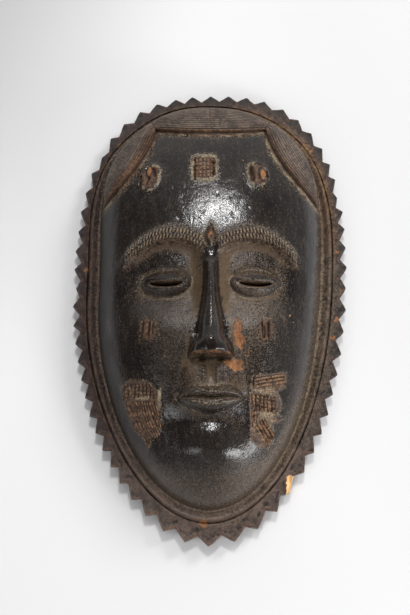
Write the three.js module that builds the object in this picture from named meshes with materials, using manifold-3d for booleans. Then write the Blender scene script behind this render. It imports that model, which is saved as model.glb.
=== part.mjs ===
// Carved wooden face mask with a toothed border, hollow at the back.
// Millimetres. +X to the right, +Y towards the crown, +Z out of the face.
// The mask lies on its back rim at z = 0; the origin is under the middle of its outline.
import * as THREE from 'three';
import { mergeVertices } from 'three/addons/utils/BufferGeometryUtils.js';
import Module from 'manifold-3d';

// ---------------------------------------------------------------- driving sizes
const HALF_WIDTH = 96.05;        // pole of the outline to a tooth tip, sideways
const POLE_X = -0.27;            // pole of the outline, where it is widest
const POLE_Y = 17.7;
const RISE_TOP = 142.1;          // pole to the topmost tooth tip
const RISE_BOTTOM = 179.0;       // pole to the lowest tooth tip
const SQUARE_TOP = 2.66;         // exponent of the oval above the pole
const SQUARE_BOTTOM = 1.945;     // exponent of the oval below the pole
const LEAN = 0.0127;             // the hand-cut oval leans a little
const LEAN_3 = -0.0033;

const TEETH = 59;
const TOOTH_DEPTH = 5.2;
const TOOTH_DEPTH_BOTTOM = 7.0;
const TOOTH_DEPTH_TOP = 4.2;
// slow drift of the tooth spacing round the border, clockwise from the top: [cos, sin] in mm
const DRIFT_MEAN = 0.57;
const DRIFT = [[-3.82, -8.97], [4.9, 2.81], [-0.11, -1.9], [-0.22, 1.28], [-1.3, -1.35], [0.31, -0.36]];
const BLUNT_TEETH = [10, 45, 52];
const SPLIT_TOOTH = 25;          // this tooth stands a little further round than its place
const SPLIT_SHIFT = 2.6;

const BORDER_SIDE = 10.8;        // tooth tip to the groove outside the bead
const BORDER_BOTTOM = 16.2;
const BORDER_TOP = 8.2;
// places where the border is wider or narrower: [degrees, mm, spread in degrees]
const BORDER_SWELL = [[67, 5.4, 12], [114, 3.2, 9], [138, -2.4, 12]];
const BORDER_LIFT = 3.8;         // underside of the tooth tips above the back rim
const BORDER_TOP_Z = 12.4;       // upper face of the border
const BEAD_WIDTH = 6.2;
const BEAD_Z = 17.0;
const COVE_WIDTH = 2.6;          // hollow line between the bead and the face
const FOOT_Z = 13.2;             // where the wall of the face rises

const FACE_Z = 60.0;             // general height of the face over the back rim
const FACE_P = 2.5;
const FACE_Q = 2.0;
const HOLLOW_Z = 46.0;           // depth of the hollow behind
const HOLLOW_P = 3.2;
const HOLLOW_Q = 2.3;
const RIM_INSET = 7.0;           // foot of the face wall to the edge of the hollow

const HAIR_STEP = 3.4;           // the hair stands over the forehead
const HAIR_MID_Y = 121.0;        // lower edge of the middle lobe
const HAIR_CORNER = [38.0, 125.0];
const HAIR_BEND = [46.0, 91.0];
const HAIR_END = [78.0, 70.0];

// face laid out in thirds from hairline to chin, and in fifths across
const HAIRLINE = HAIR_MID_Y;
const THIRD = 80.0;
const BROW_Y = HAIRLINE - THIRD;
const NOSE_Y = HAIRLINE - 2 * THIRD;
const CHIN_Y = HAIRLINE - 3 * THIRD;
const FIFTH = 29.0;
const EYE_X = FIFTH + 1.0;
const EYE_Y = 13.0;
const EYE_HALF_W = 16.5;
const EYE_HALF_H = 8.5;
const SLIT_HALF_W = 11.5;
const SLIT_H = 2.8;
const NOSE_HALF_W = 15.0;
const NOSE_LENGTH = 72.0;
const NOSE_RISE = 18.5;
const MOUTH_Y = NOSE_Y - THIRD / 3;
const MOUTH_HALF_W = 21.5;

const MARK = [-4.5, 93.1];       // cross-hatched square on the forehead
const MARK_HALF = [7.0, 8.0];

const TINT = 0x2c2622;

// ---------------------------------------------------------------- small helpers
const clamp = (v, a = 0, b = 1) => Math.min(b, Math.max(a, v));
const smooth = (a, b, v) => { const t = clamp((v - a) / (b - a)); return t * t * (3 - 2 * t); };
const soft = (a, b, v) => { const t = clamp((v - a) / (b - a)); return t * t * t * (t * (6 * t - 15) + 10); };
const mix = (a, b, t) => a + (b - a) * t;
const gauss = (x, s) => Math.exp(-0.5 * (x / s) * (x / s));
const noise = k => { const v = Math.sin(k * 127.1 + 11.7) * 43758.5453; return v - Math.floor(v); };

// ---------------------------------------------------------------- outline
function outlineRadius(a) {
  const c = Math.cos(a), s = Math.sin(a);
  const n = s >= 0 ? SQUARE_TOP : SQUARE_BOTTOM;
  const b = s >= 0 ? RISE_TOP : RISE_BOTTOM;
  const r = Math.pow(Math.pow(Math.abs(c / HALF_WIDTH), n) + Math.pow(Math.abs(s / b), n), -1 / n);
  return r * (1 + LEAN * Math.sin(2 * a) + LEAN_3 * Math.cos(3 * a));
}
const low = a => Math.max(0, -Math.sin(a));
const high = a => smooth(0.62, 0.97, Math.sin(a));
const borderWidth = a => {
  const b = Math.pow(low(a), 3);
  let w = mix(mix(BORDER_SIDE, BORDER_BOTTOM, b), BORDER_TOP, high(a)) + 1.8 * Math.cos(a) * low(a);
  for (const [deg, mm, spread] of BORDER_SWELL) {
    const d = Math.atan2(Math.sin(a - (deg * Math.PI) / 180), Math.cos(a - (deg * Math.PI) / 180));
    w += mm * gauss((d * 180) / Math.PI, spread);
  }
  return w;
};
const beadScale = a => 1 - 0.62 * high(a);
const coveScale = a => 1 - 0.85 * smooth(0.57, 0.74, Math.sin(a));   // the hair covers the hollow line
const grooveRadius = a => outlineRadius(a) - borderWidth(a);
const footRadius = a => grooveRadius(a) - BEAD_WIDTH * beadScale(a) - COVE_WIDTH * coveScale(a);
const hollowRadius = a => footRadius(a) - RIM_INSET;

// table of arc length, clockwise from the top
const STEPS = 7200;
const arc = [0];
const angleAt = i => Math.PI / 2 - (2 * Math.PI * i) / STEPS;
for (let i = 1; i <= STEPS; i++) {
  const [a, b] = [angleAt(i - 1), angleAt(i)];
  const [ra, rb] = [outlineRadius(a), outlineRadius(b)];
  arc.push(arc[i - 1] + Math.hypot(rb * Math.cos(b) - ra * Math.cos(a), rb * Math.sin(b) - ra * Math.sin(a)));
}
const PERIMETER = arc[STEPS];
function angleOfArc(s) {
  const turns = Math.floor(s / PERIMETER);
  const t = s - turns * PERIMETER;
  let lo = 0, hi = STEPS;
  while (hi - lo > 1) { const m = (lo + hi) >> 1; if (arc[m] <= t) lo = m; else hi = m; }
  const f = (t - arc[lo]) / (arc[hi] - arc[lo]);
  return angleAt(lo + f) - 2 * Math.PI * turns;
}
function tipArc(k) {
  let d = DRIFT_MEAN;
  DRIFT.forEach(([c, s], j) => {
    const w = (2 * Math.PI * (j + 1) * k) / TEETH;
    d += c * Math.cos(w) + s * Math.sin(w);
  });
  if (k === SPLIT_TOOTH) d += SPLIT_SHIFT;
  return (PERIMETER * k) / TEETH + d + 0.9 * (noise(k) - 0.5);
}

// border columns, clockwise: tooth tip, valley, tooth tip, ...
const columns = [];
for (let k = 0; k < TEETH; k++) {
  const s0 = tipArc(k);
  const s1 = k + 1 < TEETH ? tipArc(k + 1) : tipArc(0) + PERIMETER;
  const tip = angleOfArc(s0);
  const gap = angleOfArc(mix(s0, s1, 0.5 + 0.08 * (noise(k + 70) - 0.5)));
  const deep = (mix(mix(TOOTH_DEPTH, TOOTH_DEPTH_BOTTOM, Math.pow(low(gap), 2)), TOOTH_DEPTH_TOP, high(gap)))
    * (0.92 + 0.16 * noise(k + 31));
  const worn = BLUNT_TEETH.includes(k) ? 2.4 : 0.7 * noise(k + 9);
  columns.push({ a: tip, edge: outlineRadius(tip) - worn, tip: 1 });
  columns.push({ a: gap, edge: outlineRadius(gap) - deep, tip: 0 });
}

// ---------------------------------------------------------------- hair edge
// distance outside (+) or inside (-) the raised hair, in the plane of the mask
const sideEdge = [];
for (let i = 0; i <= 24; i++) {
  const t = i / 24, u = 1 - t;
  sideEdge.push([
    u * u * HAIR_CORNER[0] + 2 * u * t * HAIR_BEND[0] + t * t * HAIR_END[0],
    u * u * HAIR_CORNER[1] + 2 * u * t * HAIR_BEND[1] + t * t * HAIR_END[1],
  ]);
}
function hairDepth(x, y) {
  const ax = Math.abs(x);
  const midEdge = HAIR_MID_Y + (HAIR_CORNER[1] - HAIR_MID_Y) * Math.pow(clamp(ax / HAIR_CORNER[0]), 2.4);
  const mid = ax <= HAIR_CORNER[0] ? y - midEdge : -1e3;
  let best = 1e9, sign = 1;
  for (let i = 0; i + 1 < sideEdge.length; i++) {
    const [x0, y0] = sideEdge[i], [x1, y1] = sideEdge[i + 1];
    const dx = x1 - x0, dy = y1 - y0;
    const t = clamp(((ax - x0) * dx + (y - y0) * dy) / (dx * dx + dy * dy));
    const px = ax - x0 - t * dx, py = y - y0 - t * dy;
    const d = Math.hypot(px, py);
    if (d < best) { best = d; sign = dx * py - dy * px >= 0 ? 1 : -1; }
  }
  const side = sign * best;
  return ax <= HAIR_CORNER[0] ? Math.max(mid, Math.min(side, y - HAIR_CORNER[1])) : Math.max(side, -1e3);
}

// ---------------------------------------------------------------- front surface
function faceFeatures(x, y) {
  const ax = Math.abs(x);
  let h = 0;
  // eye sockets under the brow arch
  const brow = BROW_Y + 3.0 - Math.pow((ax - 27) / (ax < 27 ? 24 : 33), 2) * (ax < 27 ? 9 : 17);
  const under = soft(-1, 8, brow - y) * soft(-24, 10, y) * soft(70, 38, ax);
  h -= 6.2 * under * soft(-1, 15, ax);
  // raised brow band
  h += 2.1 * gauss(y - brow - 1.5, 3.2) * smooth(64, 52, ax) * smooth(2, 8, ax);
  // closed lids
  const ex = (ax - EYE_X) / EYE_HALF_W, ey = (y - EYE_Y + 1.2 * (1 - ex * ex)) / EYE_HALF_H;
  const eye = 1 - ex * ex - ey * ey;
  if (eye > 0) h += 6.2 * Math.pow(eye, 0.62);
  // nose: a ridge that widens to a flat base
  const t = clamp((y - NOSE_Y) / NOSE_LENGTH);
  if (y > NOSE_Y - 3.5) {
    const half = mix(NOSE_HALF_W * (1 - 0.34 * smooth(0, 0.22, t)), 4.4, smooth(0.05, 0.75, t));
    const crest = (NOSE_RISE - 2.5) * Math.pow(1 - t, 1.05) + 3.2 * smooth(1, 0.8, t) - 2.0 * smooth(0.14, 0.0, t);
    const across = Math.max(0, 1 - Math.pow(ax / half, 2.3));
    h += crest * Math.pow(across, 0.8) * smooth(NOSE_Y - 3.5, NOSE_Y + 2.0, y) * smooth(1.0, 0.88, t);
  }
  // rounded mound that carries the mouth, then the lips and the line between them
  h += 3.4 * gauss(x, 19) * gauss(y - MOUTH_Y, 13);
  const lx = x / MOUTH_HALF_W;
  if (Math.abs(lx) < 1) {
    const span = Math.pow(1 - lx * lx, 0.7);
    const up = (7.6 - 1.6 * gauss(x, 3.5)) * span, down = 9.2 * span;
    const d = y - MOUTH_Y;
    if (d >= 0 && d < up) h += 4.6 * Math.pow(span, 0.6) * Math.pow(Math.sin(Math.PI * (0.14 + 0.86 * d / up)), 0.8);
    if (d < 0 && d > -down) h += 5.0 * Math.pow(span, 0.6) * Math.pow(Math.sin(Math.PI * (0.14 + 0.86 * -d / down)), 0.8);
  }
  // chin and cheeks
  h += 6.4 * gauss(x, 15) * gauss(y - CHIN_Y - 18, 10);
  h += 2.6 * gauss(ax - 38, 15) * gauss(y + 18, 20);
  h -= 1.8 * gauss(ax - 27, 12) * gauss(y - MOUTH_Y + 6, 16);
  // small diamond between the brows
  const d = Math.abs(x) / 4.2 + Math.abs(y - BROW_Y - 1.5) / 7.4;
  h += 2.2 * smooth(1.0, 0.45, d);
  // sunk square on the forehead
  const q = Math.max(Math.abs(x - MARK[0]) - MARK_HALF[0], Math.abs(y - MARK[1]) - MARK_HALF[1]);
  h -= 1.2 * smooth(0.8, -2.6, q);
  return h;
}
function frontZ(x, y) {
  const dx = x - POLE_X, dy = y - POLE_Y;
  const r = Math.hypot(dx, dy), a = Math.atan2(dy, dx);
  const rho = clamp(r / footRadius(a));
  const dome = Math.pow(1 - Math.pow(rho, FACE_P), 1 / FACE_Q);
  const fade = smooth(1.0, 0.9, rho);
  let z = FOOT_Z + (FACE_Z - FOOT_Z) * dome;
  z += fade * faceFeatures(x, y);
  const hair = hairDepth(x, y);
  z += HAIR_STEP * smooth(-2.0, 2.4, hair) * smooth(1.0, 0.97, rho);
  return z;
}
function backZ(x, y) {
  const dx = x - POLE_X, dy = y - POLE_Y;
  const rho = clamp(Math.hypot(dx, dy) / hollowRadius(Math.atan2(dy, dx)));
  const z = HOLLOW_Z * Math.pow(1 - Math.pow(rho, HOLLOW_P), 1 / HOLLOW_Q);
  return z + 11 * gauss(x, 8) * gauss(y - NOSE_Y - 18, 14) * smooth(1, 0.8, rho);
}

// ---------------------------------------------------------------- mesh
const points = [];
const faces = [];
const addPoint = (x, y, z) => points.push([x, y, z]) - 1;
const polar = (a, r, z) => addPoint(POLE_X + r * Math.cos(a), POLE_Y + r * Math.sin(a), z);
const angleOf = i => Math.atan2(points[i][1] - POLE_Y, points[i][0] - POLE_X);
const clockwise = i => { let w = Math.PI / 2 - angleOf(i); while (w < -1e-9) w += 2 * Math.PI; return w; };

// joins an outer ring to an inner ring, both clockwise, whatever their counts; seen from +Z
function stitch(outer, inner, flip) {
  const sort = ring => ring.map(i => [clockwise(i), i]).sort((p, q) => p[0] - q[0]);
  const A = sort(outer), B = sort(inner);
  let i = 0, j = 0;
  const put = (p, q, r) => faces.push(flip ? [p, r, q] : [p, q, r]);
  while (i < A.length || j < B.length) {
    const a = A[i % A.length][1], b = B[j % B.length][1];
    const na = i < A.length ? (i + 1 < A.length ? A[i + 1][0] : A[0][0] + 2 * Math.PI) : 1e9;
    const nb = j < B.length ? (j + 1 < B.length ? B[j + 1][0] : B[0][0] + 2 * Math.PI) : 1e9;
    if (na <= nb) { put(a, b, A[(i + 1) % A.length][1]); i++; } else { put(a, b, B[(j + 1) % B.length][1]); j++; }
  }
}
// joins two rings with matching columns
function band(outer, inner, flip) {
  for (let i = 0; i < outer.length; i++) {
    const j = (i + 1) % outer.length;
    const [a, b, c, d] = [outer[i], inner[i], inner[j], outer[j]];
    if (flip) faces.push([a, c, b], [a, d, c]); else faces.push([a, b, c], [a, c, d]);
  }
}
// patch of a rounded-square grid that fills the inside of a ring; returns its edge loop
function patch(nx, ny, radius, limit, spreadX, spreadY, height, flip) {
  const id = [];
  const top = radius(Math.PI / 2), side = radius(0), bottom = radius(-Math.PI / 2);
  for (let j = 0; j <= ny; j++) {
    id.push([]);
    for (let i = 0; i <= nx; i++) {
      const u = spreadX((2 * i) / nx - 1), v = spreadY((2 * j) / ny - 1);
      const xd = u * Math.sqrt(1 - (v * v) / 2), yd = v * Math.sqrt(1 - (u * u) / 2);
      const rd = Math.hypot(xd, yd);
      const a = Math.atan2(yd * (yd > 0 ? top : bottom), xd * side);
      const r = rd * limit * radius(a);
      const x = POLE_X + r * Math.cos(a), y = POLE_Y + r * Math.sin(a);
      id[j].push(addPoint(x, y, height(x, y)));
    }
  }
  for (let j = 0; j < ny; j++) for (let i = 0; i < nx; i++) {
    const [a, b, c, d] = [id[j][i], id[j][i + 1], id[j + 1][i + 1], id[j + 1][i]];
    const zip = Math.abs(points[a][2] - points[c][2]) <= Math.abs(points[b][2] - points[d][2]);
    const two = zip ? [[a, b, c], [a, c, d]] : [[a, b, d], [b, c, d]];
    for (const [p, q, r] of two) faces.push(flip ? [p, r, q] : [p, q, r]);
  }
  const loop = [];
  for (let i = 0; i <= nx; i++) loop.push(id[0][i], id[ny][i]);
  for (let j = 1; j < ny; j++) loop.push(id[j][0], id[j][nx]);
  return loop;
}

// rings of the border, from the back rim over the teeth to the foot of the face
const ring = f => columns.map(c => { const [r, z] = f(c, grooveRadius(c.a), beadScale(c.a)); return polar(c.a, r, z); });
const rimOuter = ring((c, g) => [g - 2, 0]);
const rings = [
  rimOuter,
  ring(c => [c.edge - 1.0, BORDER_LIFT]),
  ring(c => [c.edge, BORDER_LIFT + 1.6]),
  ring(c => [c.edge - (c.tip ? 0.9 : 0.4), BORDER_TOP_Z - 2.2]),
  ring((c, g) => [Math.min(c.edge - 2.2, g + 3.6), BORDER_TOP_Z - 0.5]),
  ring((c, g) => [g + 0.8, BORDER_TOP_Z + 0.2]),
  ring((c, g) => [g, BORDER_TOP_Z - 0.9]),
  ring((c, g, k) => [g - 0.9 * k, mix(BORDER_TOP_Z, BEAD_Z - 1.6, k)]),
  ring((c, g, k) => [g - 3.1 * k, mix(BORDER_TOP_Z + 0.6, BEAD_Z, k)]),
  ring((c, g, k) => [g - 5.3 * k, mix(BORDER_TOP_Z + 0.4, BEAD_Z - 1.8, k)]),
  ring((c, g, k) => [g - BEAD_WIDTH * k - 0.8 * coveScale(c.a), FOOT_Z - 0.6 * coveScale(c.a)]),
  ring(c => [footRadius(c.a), FOOT_Z]),
];
for (const [rho] of [[0.995], [0.978], [0.945]]) {
  rings.push(columns.map(c => {
    const r = footRadius(c.a) * rho;
    const x = POLE_X + r * Math.cos(c.a), y = POLE_Y + r * Math.sin(c.a);
    return addPoint(x, y, frontZ(x, y));
  }));
}
for (let i = 0; i + 1 < rings.length; i++) band(rings[i], rings[i + 1], false);

const FRONT_X = 36, FRONT_Y = 64;
const closeIn = k => t => Math.sign(t) * ((1 - k) * Math.abs(t) + k * t * t);
const frontLoop = patch(FRONT_X, FRONT_Y, footRadius, 0.9, closeIn(0.38), closeIn(0.06), frontZ, false);
stitch(rings[rings.length - 1], frontLoop, false);

// the hollow behind
const half = columns.filter((c, i) => i % 2 === 0);
const backRing = rho => half.map(c => {
  const r = hollowRadius(c.a) * rho;
  const x = POLE_X + r * Math.cos(c.a), y = POLE_Y + r * Math.sin(c.a);
  return addPoint(x, y, rho === 1 ? 0 : backZ(x, y));
});
const hollowRings = [1, 0.988, 0.955, 0.9].map(backRing);
stitch(rimOuter, hollowRings[0], true);
for (let i = 0; i + 1 < hollowRings.length; i++) band(hollowRings[i], hollowRings[i + 1], true);
const even = t => t;
const backLoop = patch(14, 22, hollowRadius, 0.82, even, even, backZ, true);
stitch(hollowRings[hollowRings.length - 1], backLoop, true);

// origin under the middle of the outline
const span = [0, 1].map(k => {
  const v = points.map(p => p[k]);
  return (Math.min(...v) + Math.max(...v)) / 2;
});
for (const p of points) { p[0] -= span[0]; p[1] -= span[1]; }

// ---------------------------------------------------------------- solids
const wasm = await Module();
wasm.setup();
function solid(geometry) {
  const g = geometry.clone();
  g.deleteAttribute('normal');
  g.deleteAttribute('uv');
  const m = mergeVertices(g, 1e-4);
  return new wasm.Manifold(new wasm.Mesh({
    numProp: 3,
    vertProperties: new Float32Array(m.attributes.position.array),
    triVerts: new Uint32Array(m.index.array),
  }));
}
function geometryOf(s) {
  const m = s.getMesh();
  const g = new THREE.BufferGeometry();
  g.setAttribute('position', new THREE.BufferAttribute(new Float32Array(m.vertProperties), 3));
  g.setIndex(new THREE.BufferAttribute(new Uint32Array(m.triVerts), 1));
  g.computeVertexNormals();
  return g;
}
const shellGeometry = new THREE.BufferGeometry();
shellGeometry.setAttribute('position', new THREE.Float32BufferAttribute(points.flat(), 3));
shellGeometry.setIndex(faces.flat());

// a narrow sagging slit cut right through each eye
function slitGeometry(side) {
  const n = 8, outline = [];
  const sag = t => -1.6 * (1 - t * t);
  const open = t => (SLIT_H / 2) * Math.pow(Math.max(0, 1 - t * t), 0.45) + 0.15;
  for (let i = 0; i <= n; i++) { const t = (2 * i) / n - 1; outline.push([t, sag(t) - open(t)]); }
  for (let i = n; i >= 0; i--) { const t = (2 * i) / n - 1; outline.push([t, sag(t) + open(t)]); }
  const shape = new THREE.Shape(outline.map(([t, y]) => new THREE.Vector2(
    side * EYE_X + t * SLIT_HALF_W - span[0], EYE_Y - 1.0 + y - span[1])));
  const g = new THREE.ExtrudeGeometry(shape, { depth: 70, bevelEnabled: false });
  g.translate(0, 0, 20);
  return g;
}
let body = solid(shellGeometry);
for (const side of [-1, 1]) body = body.subtract(solid(slitGeometry(side)));

const mask = new THREE.Mesh(
  geometryOf(body),
  new THREE.MeshStandardMaterial({ color: TINT, roughness: 0.45, metalness: 0.0 }),
);
mask.name = 'mask';

const group = new THREE.Group();
group.add(mask);
export default group;
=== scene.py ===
import math

import bpy
import numpy as np
from mathutils import Matrix, Vector


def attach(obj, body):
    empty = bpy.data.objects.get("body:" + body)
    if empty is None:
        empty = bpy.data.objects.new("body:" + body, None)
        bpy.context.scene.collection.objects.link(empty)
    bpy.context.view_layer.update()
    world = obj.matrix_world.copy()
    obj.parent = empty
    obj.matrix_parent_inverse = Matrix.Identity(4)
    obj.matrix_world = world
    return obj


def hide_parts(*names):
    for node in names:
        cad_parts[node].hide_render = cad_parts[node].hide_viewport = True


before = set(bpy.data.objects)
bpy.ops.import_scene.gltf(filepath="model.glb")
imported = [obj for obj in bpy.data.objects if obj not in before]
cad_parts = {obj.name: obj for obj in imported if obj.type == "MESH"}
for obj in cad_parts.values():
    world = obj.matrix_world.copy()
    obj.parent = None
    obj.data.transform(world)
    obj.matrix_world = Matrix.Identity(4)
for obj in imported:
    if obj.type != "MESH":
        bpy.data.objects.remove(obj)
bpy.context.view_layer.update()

# ======================================================================= form
# A carved wooden face mask, in millimetres: +X to the viewer's right, +Y to the
# crown, +Z out of the face, lying on its back rim at z = 0.
HALF_WIDTH = 96.05
POLE_X, POLE_Y = -0.27, 17.7
RISE_TOP, RISE_BOTTOM = 142.1, 179.0
SQUARE_TOP, SQUARE_BOTTOM = 2.66, 1.945
LEAN, LEAN_3 = 0.0127, -0.0033

TEETH = 59
TOOTH_DEPTH, TOOTH_DEPTH_BOTTOM, TOOTH_DEPTH_TOP = 5.2, 7.0, 4.2
DRIFT_MEAN = 0.57
DRIFT = ((-3.82, -8.97), (4.9, 2.81), (-0.11, -1.9), (-0.22, 1.28), (-1.3, -1.35), (0.31, -0.36))
BLUNT_TEETH = (10, 45, 52)
SPLIT_TOOTH, SPLIT_SHIFT = 25, 2.6

BORDER_SIDE, BORDER_BOTTOM, BORDER_TOP = 10.8, 16.2, 8.2
BORDER_SWELL = ((67, 5.4, 12), (114, 3.2, 9), (138, -2.4, 12))
BORDER_LIFT, BORDER_TOP_Z = 3.8, 12.4
BEAD_WIDTH, BEAD_Z = 6.2, 17.0
COVE_WIDTH = 2.6
FOOT_Z = 13.2

FACE_Z, FACE_P, FACE_Q = 60.0, 2.5, 2.0
HOLLOW_Z, HOLLOW_P, HOLLOW_Q = 46.0, 3.2, 2.3
RIM_INSET = 7.0

HAIR_STEP = 3.4
HAIR_MID_Y = 121.0
HAIR_CORNER, HAIR_BEND, HAIR_END = (38.0, 125.0), (46.0, 91.0), (78.0, 70.0)

# the face is laid out in thirds from hairline to chin and in fifths across
HAIRLINE = HAIR_MID_Y
THIRD = 80.0
BROW_Y = HAIRLINE - THIRD
NOSE_Y = HAIRLINE - 2 * THIRD
CHIN_Y = HAIRLINE - 3 * THIRD
FIFTH = 29.0
EYE_X, EYE_Y = FIFTH + 1.0, 13.0
EYE_HALF_W, EYE_HALF_H = 16.5, 8.5
SLIT_HALF_W, SLIT_H = 11.5, 2.8
NOSE_HALF_W, NOSE_LENGTH, NOSE_RISE = 15.0, 72.0, 18.5
MOUTH_Y, MOUTH_HALF_W = NOSE_Y - THIRD / 3, 21.5

MARK, MARK_HALF = (-4.6, 91.5), 8.6


def sstep(a, b, v):
    t = np.clip((v - a) / (b - a), 0.0, 1.0)
    return t * t * (3 - 2 * t)


def soft(a, b, v):
    """As sstep, with no visible start or end on a glossy surface."""
    t = np.clip((v - a) / (b - a), 0.0, 1.0)
    return t * t * t * (t * (6 * t - 15) + 10)


def mix(a, b, t):
    return a + (b - a) * t


def gauss(x, s):
    return np.exp(-0.5 * (x / s) ** 2)


def jitter(k):
    v = np.sin(np.asarray(k, float) * 127.1 + 11.7) * 43758.5453
    return v - np.floor(v)


def _hash(ix, iy, iz, seed):
    h = (ix * 374761393 + iy * 668265263 + iz * 2147483647 + seed * 1274126177) & 0xFFFFFFFF
    h = ((h ^ (h >> 13)) * 1103515245) & 0xFFFFFFFF
    h = ((h ^ (h >> 16)) * 69069) & 0xFFFFFFFF
    return ((h ^ (h >> 15)) & 0xFFFFFF) / float(0xFFFFFF)


def vnoise(x, y, z, seed=0):
    """Smooth value noise from -1 to 1, one feature per unit."""
    x, y, z = np.broadcast_arrays(np.asarray(x, float), np.asarray(y, float), np.asarray(z, float))
    fx, fy, fz = np.floor(x), np.floor(y), np.floor(z)
    ux, uy, uz = x - fx, y - fy, z - fz
    ux, uy, uz = (t * t * t * (t * (6 * t - 15) + 10) for t in (ux, uy, uz))
    ix, iy, iz = fx.astype(np.int64) + 4096, fy.astype(np.int64) + 4096, fz.astype(np.int64) + 4096
    out = np.zeros_like(x)
    for dx in (0, 1):
        for dy in (0, 1):
            for dz in (0, 1):
                w = (ux if dx else 1 - ux) * (uy if dy else 1 - uy) * (uz if dz else 1 - uz)
                out += w * _hash(ix + dx, iy + dy, iz + dz, seed)
    return out * 2 - 1


def fbm(x, y, z, seed=0, octaves=3):
    out, amp, total = 0.0, 1.0, 0.0
    for i in range(octaves):
        k = 2.03 ** i
        out = out + amp * vnoise(x * k, y * k, z * k, seed + 17 * i)
        total += amp
        amp *= 0.5
    return out / total


def scallops(x, y, size_x, size_y, seed=0):
    """Gouge cuts: 0 on the ridges between cuts, 1 at the bottom of each."""
    gx, gy = x / size_x, y / size_y
    fx, fy = np.floor(gx).astype(np.int64), np.floor(gy).astype(np.int64)
    near = np.full(x.shape, 9.0)
    for dx in (-1, 0, 1):
        for dy in (-1, 0, 1):
            cx, cy = fx + dx, fy + dy
            px = cx + 0.15 + 0.7 * _hash(cx + 4096, cy + 4096, 3, seed)
            py = cy + 0.15 + 0.7 * _hash(cx + 4096, cy + 4096, 7, seed)
            near = np.minimum(near, (gx - px) ** 2 + (gy - py) ** 2)
    return 1 - np.clip(near / 0.6, 0, 1)


# ----------------------------------------------------------------- outline
def outline_radius(a):
    c, s = np.cos(a), np.sin(a)
    n = np.where(s >= 0, SQUARE_TOP, SQUARE_BOTTOM)
    b = np.where(s >= 0, RISE_TOP, RISE_BOTTOM)
    r = (np.abs(c / HALF_WIDTH) ** n + np.abs(s / b) ** n) ** (-1 / n)
    return r * (1 + LEAN * np.sin(2 * a) + LEAN_3 * np.cos(3 * a))


def low(a):
    return np.maximum(0, -np.sin(a))


def high(a):
    return sstep(0.62, 0.97, np.sin(a))


def border_width(a):
    w = mix(mix(BORDER_SIDE, BORDER_BOTTOM, low(a) ** 3), BORDER_TOP, high(a)) + 1.8 * np.cos(a) * low(a)
    for deg, mm, spread in BORDER_SWELL:
        d = np.arctan2(np.sin(a - math.radians(deg)), np.cos(a - math.radians(deg)))
        w = w + mm * gauss(np.degrees(d), spread)
    return w


def bead_scale(a):
    return 1 - 0.62 * high(a)


def cove_scale(a):
    return 1 - 0.85 * sstep(0.57, 0.74, np.sin(a))


def groove_radius(a):
    return outline_radius(a) - border_width(a)


def foot_radius(a):
    return groove_radius(a) - BEAD_WIDTH * bead_scale(a) - COVE_WIDTH * cove_scale(a)


def hollow_radius(a):
    return foot_radius(a) - RIM_INSET


def tooth_keys():
    """Angles and radii of the tooth tips and of the gaps between them."""
    steps = 7200
    a = math.pi / 2 - 2 * math.pi * np.arange(steps + 1) / steps
    r = outline_radius(a)
    x, y = r * np.cos(a), r * np.sin(a)
    arc = np.concatenate([[0], np.cumsum(np.hypot(np.diff(x), np.diff(y)))])
    perimeter = arc[-1]
    k = np.arange(TEETH + 1)
    s = perimeter * k / TEETH + DRIFT_MEAN + 0.9 * (jitter(k % TEETH) - 0.5)
    for j, (c, d) in enumerate(DRIFT):
        w = 2 * math.pi * (j + 1) * k / TEETH
        s = s + c * np.cos(w) + d * np.sin(w)

    s[SPLIT_TOOTH] += SPLIT_SHIFT

    def angle(v):
        turns = np.floor(v / perimeter)
        return np.interp(v - turns * perimeter, arc, a) - 2 * math.pi * turns

    k = k[:-1]
    tips = angle(s[:-1])
    gaps = angle(mix(s[:-1], s[1:], 0.5 + 0.08 * (jitter(k + 70) - 0.5)))
    deep = mix(mix(TOOTH_DEPTH, TOOTH_DEPTH_BOTTOM, low(gaps) ** 2), TOOTH_DEPTH_TOP, high(gaps))
    deep = deep * (0.92 + 0.16 * jitter(k + 31))
    worn = np.where(np.isin(k, BLUNT_TEETH), 2.4, 0.7 * jitter(k + 9))
    return tips, outline_radius(tips) - worn, gaps, outline_radius(gaps) - deep


TIP_A, TIP_R, GAP_A, GAP_R = tooth_keys()
_key_a = np.concatenate([TIP_A, GAP_A])
_key_r = np.concatenate([TIP_R, GAP_R])
_turn = 2 * math.pi
_order = np.argsort(_key_a % _turn)
KEY_A, KEY_R = (_key_a % _turn)[_order], _key_r[_order]
_long_a = np.concatenate([KEY_A - _turn, KEY_A, KEY_A + _turn])
_long_r = np.tile(KEY_R, 3)
_tip_a = np.sort(TIP_A % _turn)


def edge_radius(a):
    """The toothed edge, with tips a little worn."""
    a = np.asarray(a) % _turn
    r = np.interp(a, _long_a, _long_r)
    i = np.searchsorted(_tip_a, a) % TEETH
    d = np.minimum(np.abs(a - _tip_a[i]), np.abs(a - _tip_a[i - 1]))
    d = np.minimum(d, _turn - d) * r
    return r - 0.12 * np.exp(-d / 0.6)


def tooth_phase(a):
    """1 at a tooth's tip, 0 in a gap."""
    a = np.asarray(a) % _turn
    base = outline_radius(a)
    t = np.concatenate([np.ones(TEETH), np.zeros(TEETH)])[_order]
    return np.interp(a, _long_a, np.tile(t, 3)) + 0 * base


# ----------------------------------------------------------------- hair
_t = np.linspace(0, 1, 25)
EDGE_X = (1 - _t) ** 2 * HAIR_CORNER[0] + 2 * (1 - _t) * _t * HAIR_BEND[0] + _t ** 2 * HAIR_END[0]
EDGE_Y = (1 - _t) ** 2 * HAIR_CORNER[1] + 2 * (1 - _t) * _t * HAIR_BEND[1] + _t ** 2 * HAIR_END[1]


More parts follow.
